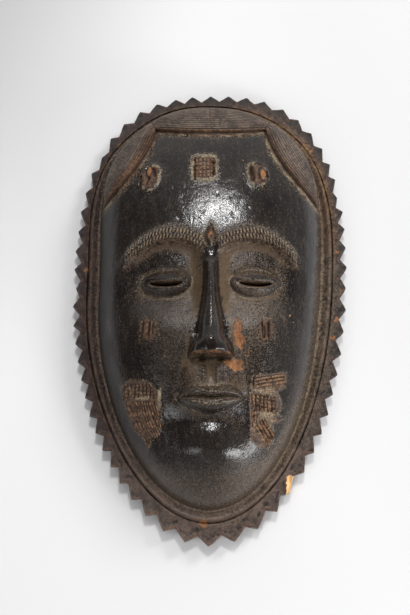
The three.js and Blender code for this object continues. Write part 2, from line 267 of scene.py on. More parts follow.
def mid_edge(x):
    return HAIR_MID_Y + (HAIR_CORNER[1] - HAIR_MID_Y) * np.clip(np.abs(x) / HAIR_CORNER[0], 0, 1) ** 2.4


def side_depth(x, y):
    """Signed distance past the lower edge of a side lobe, and the place along it (0 to 1)."""
    ax = np.abs(x)
    best = np.full(np.shape(ax), 1e9)
    sign = np.ones(np.shape(ax))
    along = np.zeros(np.shape(ax))
    for i in range(len(EDGE_X) - 1):
        x0, y0 = EDGE_X[i], EDGE_Y[i]
        dx, dy = EDGE_X[i + 1] - x0, EDGE_Y[i + 1] - y0
        t = np.clip(((ax - x0) * dx + (y - y0) * dy) / (dx * dx + dy * dy), 0, 1)
        px, py = ax - x0 - t * dx, y - y0 - t * dy
        d = np.hypot(px, py)
        k = d < best
        best = np.where(k, d, best)
        sign = np.where(k, np.where(dx * py - dy * px >= 0, 1.0, -1.0), sign)
        along = np.where(k, (i + t) / (len(EDGE_X) - 1), along)
    return sign * best, along


def hair_depth(x, y):
    """How far a point is inside the raised hair (+) or outside it (-)."""
    ax = np.abs(x)
    mid = np.where(ax <= HAIR_CORNER[0], y - mid_edge(x), -1e3)
    side, _ = side_depth(x, y)
    return np.where(ax <= HAIR_CORNER[0], np.maximum(mid, np.minimum(side, y - HAIR_CORNER[1])), side)


def seam_x(y):
    """Where the middle lobe meets a side lobe."""
    return HAIR_CORNER[0] + 0.42 * (y - HAIR_CORNER[1])


# ----------------------------------------------------------------- face
def brow_line(ax):
    return BROW_Y + 3.0 - np.where(ax < 27, ((ax - 27) / 24) ** 2 * 9, ((ax - 27) / 33) ** 2 * 17)


_bx = np.linspace(0, 80, 321)
_bl = np.concatenate([[0], np.cumsum(np.hypot(np.diff(_bx), np.diff(brow_line(_bx))))])


def face_form(x, y):
    """Height of the features over the smooth face."""
    ax = np.abs(x)
    h = np.zeros(np.shape(x))
    brow = brow_line(ax)
    # sockets, sharper under the brow
    under = soft(-1.0, 8.0, brow - y) * soft(-24, 10, y) * soft(70, 38, ax)
    h -= 6.2 * under * soft(-1, 15, ax)
    # brow band with a flat top
    band = sstep(4.6, 3.2, np.abs(y - brow - 1.6))
    h += (1.5 * gauss(y - brow - 1.5, 4.0) + 0.9 * band) * soft(64, 52, ax) * soft(1, 8, ax)
    # closed lids, the upper one fuller, meeting over the slit
    ex = (ax - EYE_X) / EYE_HALF_W
    ey = (y - EYE_Y + 1.2 * (1 - ex * ex)) / EYE_HALF_H
    eye = 1 - ex * ex - ey * ey
    h += 6.4 * np.clip(eye, 0, None) ** 0.58
    h += 0.55 * gauss(eye, 0.09) * (np.abs(ex) < 1.15)
    slit_y = EYE_Y - 1.0 - 1.6 * (1 - ((ax - EYE_X) / SLIT_HALF_W) ** 2)
    sx = (ax - EYE_X) / (SLIT_HALF_W + 2.6)
    edge_of_lid = np.clip(1 - sx ** 4, 0, 1)
    h -= 2.4 * gauss(y - slit_y, 1.45) * edge_of_lid
    h += 0.7 * gauss(y - slit_y - 3.2, 0.9) * edge_of_lid + 0.5 * gauss(y - slit_y + 3.0, 0.8) * edge_of_lid
    # crease over the upper lid and a soft fold under the lower one
    crease = EYE_Y + 10.6 - 7.4 * ((ax - EYE_X) / 17.5) ** 2
    h -= 0.95 * gauss(y - crease, 0.8) * soft(18.0, 13, np.abs(ax - EYE_X))
    fold = EYE_Y - 12.6 + 5.6 * ((ax - EYE_X) / 17.5) ** 2
    h -= 0.45 * gauss(y - fold, 0.9) * soft(17.0, 11, np.abs(ax - EYE_X))
    # nose: bridge with flat sides, rounded tip, wings
    t = np.clip((y - NOSE_Y) / NOSE_LENGTH, 0, 1)
    half = mix(NOSE_HALF_W * (1 - 0.34 * soft(0, 0.24, t)), 4.6, soft(0.04, 0.80, t))
    crest = (NOSE_RISE - 2.5) * (1 - t) ** 1.05 + 3.2 * soft(1, 0.75, t) - 2.2 * soft(0.15, 0.0, t)
    across = np.clip(1 - (ax / half) ** 2.3, 0, None)
    tall = crest * across ** 0.8
    tall += 1.3 * gauss(ax, 5.0) * gauss(y - NOSE_Y - 7.5, 5.0)
    tall += 2.7 * gauss(ax - 10.8, 3.2) * gauss(y - NOSE_Y - 5.6, 4.8)
    tall -= 1.3 * gauss(ax - 8.6 - 0.25 * (y - NOSE_Y - 13), 1.3) * gauss(y - NOSE_Y - 11.5, 4.2)
    tall -= 0.9 * gauss(ax - 15.2, 1.4) * gauss(y - NOSE_Y - 5.0, 6.0)
    h += tall * soft(NOSE_Y - 2.2, NOSE_Y + 1.6, y) * soft(1.02, 0.82, t)
    # nostrils under the tip
    h -= 3.4 * gauss(ax - 6.4, 2.1) * gauss(y - NOSE_Y + 0.5, 1.3)
    # mound of the mouth, groove under the nose, lips
    h += 3.4 * gauss(x, 19) * gauss(y - MOUTH_Y, 13)
    h -= 1.3 * gauss(x, 2.5) * gauss(y - MOUTH_Y - 14, 4.8)
    h += 0.5 * (gauss(ax - 4.4, 1.2)) * gauss(y - MOUTH_Y - 14, 4.8)
    lx = np.clip(x / MOUTH_HALF_W, -1, 1)
    span = np.clip(1 - lx * lx, 0, 1) ** 0.7
    up = (7.8 - 1.9 * gauss(x, 3.2)) * span + 1e-6
    down = 9.2 * span + 1e-6
    d = y - MOUTH_Y + 0.7 * gauss(x, 5) - 0.5 * gauss(ax - 11, 6)
    u = np.clip(d / up, 0, 1)
    v = np.clip(-d / down, 0, 1)
    inside = (np.abs(x) < MOUTH_HALF_W)
    h += inside * (d >= 0) * (d < up) * 4.6 * span ** 0.6 * np.sin(np.pi * (0.08 + 0.92 * u)) ** 0.62
    h += inside * (d < 0) * (-d < down) * 5.0 * span ** 0.6 * np.sin(np.pi * (0.08 + 0.92 * v)) ** 0.62
    h -= 1.1 * gauss(d, 0.65) * inside * span ** 0.5
    h += 0.8 * gauss(d - up, 0.7) * inside * span + 0.6 * gauss(d + down, 0.7) * inside * span
    h -= 1.2 * gauss(ax - MOUTH_HALF_W - 0.6, 1.4) * gauss(y - MOUTH_Y - 0.4, 1.8)
    h -= 2.4 * gauss(x, 15) * gauss(y - MOUTH_Y + 14.0, 3.8)
    # folds from the wings of the nose to the corners of the mouth
    q = np.clip((NOSE_Y + 3 - y) / (NOSE_Y + 3 - MOUTH_Y + 4), 0, 1)
    h -= 0.9 * gauss(ax - mix(17.0, 27.0, q), 2.2) * soft(0, 0.25, q) * soft(1.0, 0.7, q)
    # chin, cheeks
    h += 6.4 * gauss(x, 15) * gauss(y - CHIN_Y - 18, 10)
    h += 2.6 * gauss(ax - 38, 15) * gauss(y + 18, 20)
    h -= 1.8 * gauss(ax - 27, 12) * gauss(y - MOUTH_Y + 6, 16)
    # small diamond between the brows
    q = np.abs(x) / 4.2 + np.abs(y - BROW_Y - 1.5) / 7.4
    h += 2.2 * sstep(1.0, 0.45, q) - 0.6 * gauss(q - 1.15, 0.12)
    return h


def rho_of(x, y, radius):
    dx, dy = x - POLE_X, y - POLE_Y
    a = np.arctan2(dy, dx)
    return np.clip(np.hypot(dx, dy) / radius(a), 0, 1), a


def front_z(x, y):
    rho, _ = rho_of(x, y, foot_radius)
    z = FOOT_Z + (FACE_Z - FOOT_Z) * (1 - rho ** FACE_P) ** (1 / FACE_Q)
    z = z + sstep(1.0, 0.9, rho) * face_form(x, y)
    s = hair_depth(x, y)
    # step of the hair: a trough before it, then a rolled edge
    step = HAIR_STEP * sstep(-0.5, 0.9, s) - 0.45 * gauss(s + 1.6, 1.2)
    return z + step * sstep(1.0, 0.97, rho)


def back_z(x, y):
    rho, _ = rho_of(x, y, hollow_radius)
    z = HOLLOW_Z * (1 - rho ** HOLLOW_P) ** (1 / HOLLOW_Q)
    return z + 11 * gauss(x, 8) * gauss(y - NOSE_Y - 18, 14) * sstep(1, 0.8, rho)


# ----------------------------------------------------------------- small carving
# cuts shaped like a lens or a grain of rice: x, y, half width, half length, turn in degrees, depth
CUTS = (
    (-38.7, 90.4, 1.7, 3.9, -14, 1.9),
    (-42.8, 84.6, 0.9, 3.6, 18, 1.5),
    (-47.8, 83.8, 0.9, 5.6, 5, 1.6),
    (28.2, 89.4, 2.1, 7.0, 8, 2.4),
    (38.6, 87.0, 0.9, 4.6, 4, 1.2),
    (-45.9, -20.6, 1.0, 7.0, 8, 1.5),
    (-41.3, -19.6, 0.95, 5.4, 6, 1.8),
    (-38.9, -19.6, 0.7, 4.9, 4, 1.0),
    (34.4, -20.4, 0.8, 6.0, 4, 1.4),
    (35.8, -22.0, 0.7, 4.4, 1, 1.1),
    (38.6, -20.2, 1.25, 6.2, 1, 1.7),
    (28.4, -54.8, 0.9, 3.6, 0, 1.5),
    (29.0, -76.6, 0.9, 4.4, 0, 1.6),
)
# raised ovals that carry the cuts of the forehead: x, y, half width, half length, turn
BOSSES = ((-41.8, 87.0, 7.4, 11.0, -20), (32.2, 88.4, 7.8, 10.4, 12))
# rounded grains of lighter wood left between the cuts
GRAINS = ((-42.1, 91.0, 1.9, 4.0, -6, 0.7), (35.6, 88.4, 2.3, 4.6, 6, 0.6))
SQUARE, SQUARE_X, SQUARE_Y = (-4.5, 93.1), 6.4, 7.4
CHEEK_ZONES = ((-41.6, -20.2, 7.0, 9.6), (36.6, -20.4, 6.4, 9.4))
# outlines of the two carved fans beside the mouth
FANS = (
    ((27.9, -51.9), (50.3, -47.7), (48.9, -56.9), (43.8, -59.3), (46.9, -66.8), (46.6, -70.7), (43.5, -73.5),
     (48.4, -76.8), (41.1, -81.4), (41.6, -91.5), (38.9, -96.2), (34.1, -97.2), (26.6, -92.6), (26.2, -63.7)),
    ((-59.8, -55.3), (-54.2, -52.2), (-45.2, -53.3), (-38.5, -57.3), (-35.1, -62.7), (-33.5, -71.8), (-33.5, -80.8),
     (-35.2, -87.8), (-39.3, -90.7), (-42.1, -97.4), (-45.1, -90.2), (-50.6, -85.2), (-54.7, -74.6), (-58.5, -64.5)),
)
# hatched blocks of the fans: corner, end of its long side, end of its short side, cuts along, cuts across,
# strength of each
BLOCKS = (
    ((28.9, -52.5), (48.9, -48.2), (29.9, -59.3), 3, 9, 1.0, 0.45),
    ((29.6, -62.8), (43.1, -64.2), (29.9, -73.1), 4, 5, 0.85, 1.0),
    ((29.3, -84.1), (37.1, -95.7), (35.3, -77.6), 4, 7, 1.0, 0.45),
    ((26.9, -63.0), (30.2, -62.8), (27.6, -84.2), 9, 1, 0.4, 0.9),
    ((-58.7, -53.8), (-38.5, -56.4), (-58.4, -63.2), 4, 8, 0.55, 1.0),
    ((-57.0, -66.0), (-36.2, -67.5), (-54.6, -75.6), 3, 11, 0.45, 1.0),
    ((-53.0, -77.0), (-35.2, -76.8), (-49.4, -85.0), 3, 9, 0.45, 1.0),
    ((-45.1, -89.0), (-35.9, -82.9), (-42.4, -95.2), 3, 6, 0.5, 1.0),
)
# pale wedges left between the blocks: x, y, half width, half length, turn
WEDGES = ((37.6, -75.9, 6.0, 2.6, 8), (35.8, -60.6, 7.5, 1.5, -4), (-45.5, -64.6, 6.5, 1.4, 2), (-34.6, -67.0, 1.6, 9.0, -6))


def turned(x, y, cx, cy, deg):
    c, s = math.cos(math.radians(deg)), math.sin(math.radians(deg))
    dx, dy = x - cx, y - cy
    return c * dx + s * dy, -s * dx + c * dy


def line_cut(p, count, width):
    """Evenly spaced cuts over 0..1: 1 at the bottom of a cut."""
    q = p * count
    d = np.abs(q - np.floor(q) - 0.5)
    return np.clip(1 - (0.5 - d) / width, 0, 1)


def inside_outline(x, y, pts):
    """Distance inside (+) or outside (-) a closed outline."""
    best = np.full(np.shape(x), 1e9)
    inside = np.zeros(np.shape(x), bool)
    for (x0, y0), (x1, y1) in zip(pts, pts[1:] + pts[:1]):
        best = np.minimum(best, to_segment(x, y, (x0, y0), (x1, y1)))
        cross = ((y0 > y) != (y1 > y)) & (x < (x1 - x0) * (y - y0) / (y1 - y0 + 1e-12) + x0)
        inside ^= cross
    return np.where(inside, best, -best)


def to_segment(x, y, p0, p1):
    dx, dy = p1[0] - p0[0], p1[1] - p0[1]
    t = np.clip(((x - p0[0]) * dx + (y - p0[1]) * dy) / (dx * dx + dy * dy), 0, 1)
    return np.hypot(x - p0[0] - t * dx, y - p0[1] - t * dy)


def small_carving(x, y):
    """Depth (negative) of the cuts in the front, along the normal, and where the dust, the brown of
    carved wood and the rubbed wood are."""
    ax = np.abs(x)
    h = np.zeros(np.shape(x))
    dust, brown, wear = np.zeros(np.shape(x)), np.zeros(np.shape(x)), np.zeros(np.shape(x))
    wob = vnoise(x / 5, y / 5, 0.3, 5)
    # --- brow: two rows of notches
    brow = brow_line(ax)
    off = y - brow - 1.6
    along = np.interp(ax, _bx, _bl) + 0.12 * wob
    lim = sstep(61, 57, ax) * sstep(4.5, 6.5, ax)
    for centre, half, shift in ((1.9, 2.1, 0.0), (-2.1, 1.6, 0.5)):
        f = (along / 2.35 + shift + 0.10 * off) % 1.0
        cut = np.clip(1 - np.abs(f - 0.5) * 2.35 / 0.78, 0, 1)
        row = np.clip((half - np.abs(off - centre)) / 0.5, 0, 1)
        h -= 1.05 * cut * row * lim
        dust = np.maximum(dust, 0.80 * row * lim * (1 - cut) ** 1.5)
    h -= 0.5 * np.clip(1 - np.abs(off + 0.15) / 0.5, 0, 1) * lim
    halo = sstep(66, 56, ax) * sstep(1.0, 6.5, ax)
    brown = np.maximum(brown, (0.50 * gauss(off, 6.5) + 0.30 * gauss(off + 8, 4.0)) * halo)
    dust = np.maximum(dust, (0.42 * gauss(off - 5.0, 2.2) + 0.50 * gauss(off + 5.2, 1.8)) * halo)
    # --- lozenge between the brows: brown sides in a dusty bed
    q = np.abs(x + 0.4) / 4.2 + np.abs(y - BROW_Y - 3.0) / 7.0
    brown = np.maximum(brown, 0.95 * sstep(1.25, 0.85, q))
    dust = np.maximum(dust, 0.62 * gauss(q - 1.45, 0.34) * sstep(-9.0, -3.0, y - BROW_Y))
    # --- sunk square with crossed cuts
    mx, my = x - SQUARE[0], y - SQUARE[1]
    q = np.maximum(np.abs(mx) - SQUARE_X, np.abs(my) - SQUARE_Y)
    sunk = sstep(0.5, -0.5, q)
    h -= 0.55 * sunk
    gx = line_cut((mx + SQUARE_X) / (2 * SQUARE_X) + 0.04 * wob, 5, 0.26)
    gy = line_cut((my + SQUARE_Y) / (2 * SQUARE_Y) + 0.04 * wob, 5, 0.26)
    h -= 0.75 * np.maximum(0.8 * gx, gy) * sstep(0.0, -0.8, q)
    ridge = 0.75 * (1 - np.maximum(gx, gy)) * sstep(0.0, -0.8, q)
    for side, top, bottom in ((-1, 7.4, -9.4), (1, 5.0, -6.0)):
        h -= 1.5 * np.clip(1.4 - np.abs(mx - side * SQUARE_X) / 0.75, 0, 1) * sstep(top + 0.6, top - 0.6, my) * sstep(bottom - 0.6, bottom + 0.6, my)
    torn = vnoise(x / 2.2, y / 2.2, 0.9, 11)
    ring = np.hypot(np.clip(np.abs(mx) - SQUARE_X + 2, 0, None), np.clip(np.abs(my) - SQUARE_Y + 2, 0, None)) - 3.6 + 0.9 * torn
    h += 0.25 * gauss(ring, 1.2)
    dust = np.maximum(dust, (0.56 + 0.42 * torn) * gauss(ring, 1.25) + 0.30 * gauss(ring - 1.8, 2.4))
    brown = np.maximum(brown, sstep(1.6, 0.0, q))
    # --- raised ovals, their grains, and all the single cuts
    for cx, cy, w, l, deg in BOSSES:
        u, v = turned(x, y, cx, cy, deg)
        rim = np.sqrt((u / w) ** 2 + (v / l) ** 2)
        h += 0.5 * sstep(1.15, 0.8, rim) + 0.2 * gauss(rim - 0.9, 0.12)
        open_side = 0.45 + 0.55 * sstep(-0.7, 0.6, (u if cx < 0 else -u) / w + 0.5 * torn)
        dust = np.maximum(dust, ((0.56 + 0.45 * torn) * gauss(rim - 0.88 + 0.16 * torn, 0.12)
                                 + 0.30 * gauss(rim - 1.12, 0.26)) * open_side)
        brown = np.maximum(brown, 0.85 * sstep(0.95, 0.7, rim))
    for cx, cy, w, l, deg, tall in GRAINS:
        u, v = turned(x, y, cx, cy, deg)
        e = np.clip(1 - (u / w) ** 2 - (v / l) ** 2, 0, 1)
        h += tall * np.sqrt(e) - 0.5 * gauss(np.sqrt((u / w) ** 2 + (v / l) ** 2) - 1.12, 0.12)
        wear = np.maximum(wear, 0.8 * sstep(0.0, 0.5, e))
    for cx, cy, hw, hl, deg, deep in CUTS:
        u, v = turned(x, y, cx, cy, -deg if cx < 0 else deg)
        w = hw * np.clip(1 - (np.abs(v) / hl) ** 3, 0, 1)
        e = np.clip(1 - np.abs(u) / (w + 1e-6), 0, 1) * (np.abs(v) < hl)
        h -= deep * e ** 0.8
    for cx, cy, w, l in CHEEK_ZONES:
        q = np.sqrt(((x - cx) / w) ** 2 + ((y - cy) / l) ** 2)
        brown = np.maximum(brown, 0.85 * sstep(1.0, 0.6, q + 0.12 * wob))
        dust = np.maximum(dust, 0.30 * gauss(q - 0.95 + 0.1 * wob, 0.22))
        wear = np.maximum(wear, 0.38 * sstep(0.9, 0.5, q))
    # --- fans
    for pts in FANS:
        d = inside_outline(x, y, pts)
        h += 0.35 * gauss(d + 0.2, 1.0)
        brown = np.maximum(brown, sstep(-1.6, 0.8, d + 0.7 * wob))
        dust = np.maximum(dust, 0.45 * gauss(d + 0.4 + 0.8 * torn, 1.2))
        dust = np.maximum(dust, (0.22 + 0.26 * (x > 0) + 0.25 * torn) * sstep(-0.5, 1.0, d))
        h -= 0.25 * sstep(-0.4, 0.8, d)
    for (ox, oy), (lx, ly), (sx, sy), n_along, n_across, deep_a, deep_c in BLOCKS:
        lx, ly, sx, sy = lx - ox, ly - oy, sx - ox, sy - oy
        det = lx * sy - ly * sx
        dx, dy = x - ox, y - oy
        u = (dx * sy - dy * sx) / det
        v = (lx * dy - ly * dx) / det
        inner = np.minimum(np.minimum(u, 1 - u) * math.hypot(lx, ly), np.minimum(v, 1 - v) * math.hypot(sx, sy))
        zone = sstep(-0.3, 0.4, inner)
        cu = line_cut(u + 0.035 * wob + 0.012 * torn, n_across, 0.30) * deep_c
        cv = line_cut(v + 0.045 * wob, n_along, 0.30) * deep_a
        h -= zone * 1.25 * np.maximum(cu, cv)
        rubbed = np.clip(1 - np.maximum(cu * (0.9 if deep_c > deep_a else 0.55), cv * (0.9 if deep_a >= deep_c else 0.55)), 0, 1)
        ridge = np.maximum(ridge, zone * rubbed * (0.62 + 0.26 * (x > 0) + 0.55 * torn))
    for cx, cy, w, l, deg in WEDGES:
        u, v = turned(x, y, cx, cy, deg)
        dust = np.maximum(dust, 0.95 * sstep(1.3, 0.6, np.sqrt((u / w) ** 2 + (v / l) ** 2) + 0.1 * wob))
    return h, dust, brown, wear, ridge


def hair_lines(x, y):
    """Incised hair, along the normal; where the hair is; dust, brown and wear of its edge."""
    s = hair_depth(x, y)
    side, along = side_depth(x, y)
    ax = np.abs(x)
    middle = sstep(0.8, -0.8, ax - seam_x(np.maximum(y, HAIR_CORNER[1]))) * (ax < 60) * (y > HAIR_MID_Y - 2)
    flank = 1 - middle
    wob = vnoise(x / 14, y / 14, 0.7, 9)
    h = np.zeros(np.shape(x))
    # middle lobe: a groove under the lip, then fine lines that follow the lip and flatten upwards
    d_mid = y - mid_edge(x)
    rise = np.clip(d_mid / 26.0, 0, 1)
    line = d_mid + rise * 0.0045 * x * x
    f = (line / 1.8 + 0.20 * wob) % 1.0
    fine = np.clip(1 - np.abs(f - 0.5) * 1.8 / 0.62, 0, 1)
    low_part = sstep(14.0, 3.0, s)
    h -= ((0.46 + 0.26 * low_part) * fine * sstep(1.2, 2.4, s) + 0.7 * np.clip(1 - np.abs(s - 2.2) / 0.6, 0, 1)) * middle
    ridge = 0.45 * (1 - fine) * sstep(2.6, 4.0, s) * sstep(13.0, 4.0, s) * middle
    # side lobes: strong parallel grooves next to the edge, fine hatching beyond
    fade = sstep(0.0, 0.10, along) * sstep(1.0, 0.93, along)
    for at, half, deep in ((1.6, 0.75, 1.4), (3.4, 0.65, 1.2), (5.1, 0.5, 0.9), (6.9, 0.45, 0.6)):
        cut = np.clip(1 - np.abs(s - at * (0.75 + 0.25 * fade) + 0.2 * wob) / half, 0, 1)
        h -= deep * cut * flank * (0.35 + 0.65 * fade)
    ridge = np.maximum(ridge, (0.75 - 0.22 * (x > 0) + 0.5 * wob) * (gauss(s - 2.5, 0.4) + gauss(s - 4.3, 0.35)) * flank * fade)
    # the left lobe carries a band of short hatching beside its edge
    hatch = np.clip(1 - np.abs(((along * 92 + 0.35 * s + 0.4 * wob) / 1.9) % 1.0 - 0.5) * 1.9 / 0.62, 0, 1)
    band = sstep(0.6, 1.6, s) * sstep(8.5, 6.5, s) * flank * (x < 0) * fade
    h -= 0.55 * hatch * band
    ridge = np.maximum(ridge, 0.46 * (1 - hatch) * band * sstep(0.15, 0.75, wob + 0.4))
    f = (side / 1.65 + 0.30 * wob) % 1.0
    h -= 0.38 * np.clip(1 - np.abs(f - 0.5) * 1.65 / 0.55, 0, 1) * sstep(7.5, 9.0, s) * flank
    f = ((0.35 * ax + 0.94 * y) / 1.6 + 0.3 * wob) % 1.0
    h -= 0.24 * np.clip(1 - np.abs(f - 0.5) * 1.6 / 0.42, 0, 1) * sstep(2.5, 9.0, s) * flank
    # seams between the lobes, each with a row of short strokes beside it
    seam = ax - seam_x(np.maximum(y, HAIR_CORNER[1]))
    on = sstep(-0.5, 1.5, y - HAIR_CORNER[1])
    h -= 0.6 * np.clip(1 - np.abs(seam) / 0.7, 0, 1) * on
    strokes = np.clip(1 - np.abs(((y + 0.6 * seam) / 2.4) % 1.0 - 0.5) * 2.4 / 0.75, 0, 1)
    h -= 0.85 * strokes * gauss(seam - 1.6, 2.0) * on
    ridge = np.maximum(ridge, 0.42 * (1 - strokes) * gauss(seam - 1.6, 2.0) * on)
    torn = vnoise(x / 2.4, y / 2.4, 0.2, 12)
    share = mix(0.40, mix(0.50, 1.0, sstep(-20, 20, x)), flank)
    dust = (0.80 + 0.80 * torn) * gauss(s + 1.7, 0.95) * share + 0.38 * gauss(s + 4.0, 2.4) + 0.25 * gauss(s - 2.6, 0.5) * flank
    brown = 0.9 * gauss(s + 0.6, 2.2) + 0.8 * sstep(9.5, 4.0, s) * flank * sstep(-1, 1, s) * (1 - 0.55 * (x > 0))
    brown = np.maximum(brown, 0.8 * gauss(s - 1.2, 1.4) * middle)
    wear = (0.62 + 0.5 * torn) * gauss(s - 0.7, 0.6) * middle * sstep(38, 8, np.abs(x - 4)) + (0.14 + 0.30 * torn) * (x < 0) * gauss(s - 4.0, 2.0) * flank
    return (h * sstep(0.0, 0.5, s + 0.2), sstep(-0.1, 0.6, s), np.clip(dust, 0, 1), np.clip(brown, 0, 1),
            np.clip(wear, 0, 1), np.clip(ridge, 0, 1))


# ======================================================================= mesh in numpy
def rounded_grid(nx, ny, radius, limit, close_x, close_y):
    """Points of a rounded-square grid filling limit * radius(a), row by row from the chin up."""
    u = np.linspace(-1, 1, nx + 1)
    v = np.linspace(-1, 1, ny + 1)
    u = np.sign(u) * ((1 - close_x) * np.abs(u) + close_x * u * u)
    v = np.sign(v) * ((1 - close_y) * np.abs(v) + close_y * v * v)
    U, V = np.meshgrid(u, v)
    xd, yd = U * np.sqrt(1 - V * V / 2), V * np.sqrt(1 - U * U / 2)
    rd = np.hypot(xd, yd)
    top, side, bottom = (float(radius(np.array(q))) for q in (math.pi / 2, 0.0, -math.pi / 2))
    a = np.arctan2(yd * np.where(yd > 0, top, bottom), xd * side)
    r = rd * limit * radius(a)
    return POLE_X + r * np.cos(a), POLE_Y + r * np.sin(a)


def grid_loop(nx, ny):
    """Indices of the grid's edge, once round, clockwise seen from the front, from the top left corner."""
    row = nx + 1
    top = [ny * row + i for i in range(nx)]
    right = [(ny - j) * row + nx for j in range(ny)]
    bottom = [nx - i for i in range(nx)]
    left = [j * row for j in range(ny)]
    return np.array(top + right + bottom + left)


class Skin:
    def __init__(self):
        self.p, self.tri, self.n = [], [], 0

    def add(self, x, y, z):
        q = np.stack([np.ravel(x), np.ravel(y), np.ravel(z)], 1)
        self.p.append(q)
        i = np.arange(self.n, self.n + len(q))
        self.n += len(q)
        return i

    def quads(self, a, b, c, d, flip=False):
        a, b, c, d = (np.ravel(v) for v in (a, b, c, d))
        t = np.concatenate([np.stack([a, b, c], 1), np.stack([a, c, d], 1)])
        self.tri.append(t[:, ::-1] if flip else t)

    def grid(self, idx, flip=False):
        self.quads(idx[:-1, :-1], idx[:-1, 1:], idx[1:, 1:], idx[1:, :-1], flip)

    def band(self, outer, inner, flip=False):
        on, inn = np.roll(outer, -1), np.roll(inner, -1)
        self.quads(outer, inner, inn, on, flip)

    def zip(self, outer, inner, flip=False):
        """Joins two clockwise rings whose counts differ."""
        p = np.concatenate(self.p)

        def turn(i):
            return (math.pi / 2 - np.arctan2(p[i, 1] - POLE_Y, p[i, 0] - POLE_X)) % _turn

        A = outer[np.argsort(turn(outer))]
        B = inner[np.argsort(turn(inner))]
        ta, tb = np.sort(turn(outer)), np.sort(turn(inner))
        ta, tb = np.append(ta, ta[0] + _turn), np.append(tb, tb[0] + _turn)
        i = j = 0
        out = []
        while i < len(A) or j < len(B):
            a, b = A[i % len(A)], B[j % len(B)]
            na = ta[i + 1] if i < len(A) else 1e9
            nb = tb[j + 1] if j < len(B) else 1e9
            if na <= nb:
                out.append((a, b, A[(i + 1) % len(A)]))
                i += 1
            else:
                out.append((a, b, B[(j + 1) % len(B)]))
                j += 1
        t = np.array(out)
        self.tri.append(t[:, ::-1] if flip else t)


def vertex_normals(p, tri):
    e1, e2 = p[tri[:, 1]] - p[tri[:, 0]], p[tri[:, 2]] - p[tri[:, 0]]
    fn = np.cross(e1, e2)
    n = np.zeros_like(p)
    for k in range(3):
        for c in range(3):
            n[:, c] += np.bincount(tri[:, k], weights=fn[:, c], minlength=len(p))
    return n / np.maximum(np.linalg.norm(n, axis=1, keepdims=True), 1e-12)


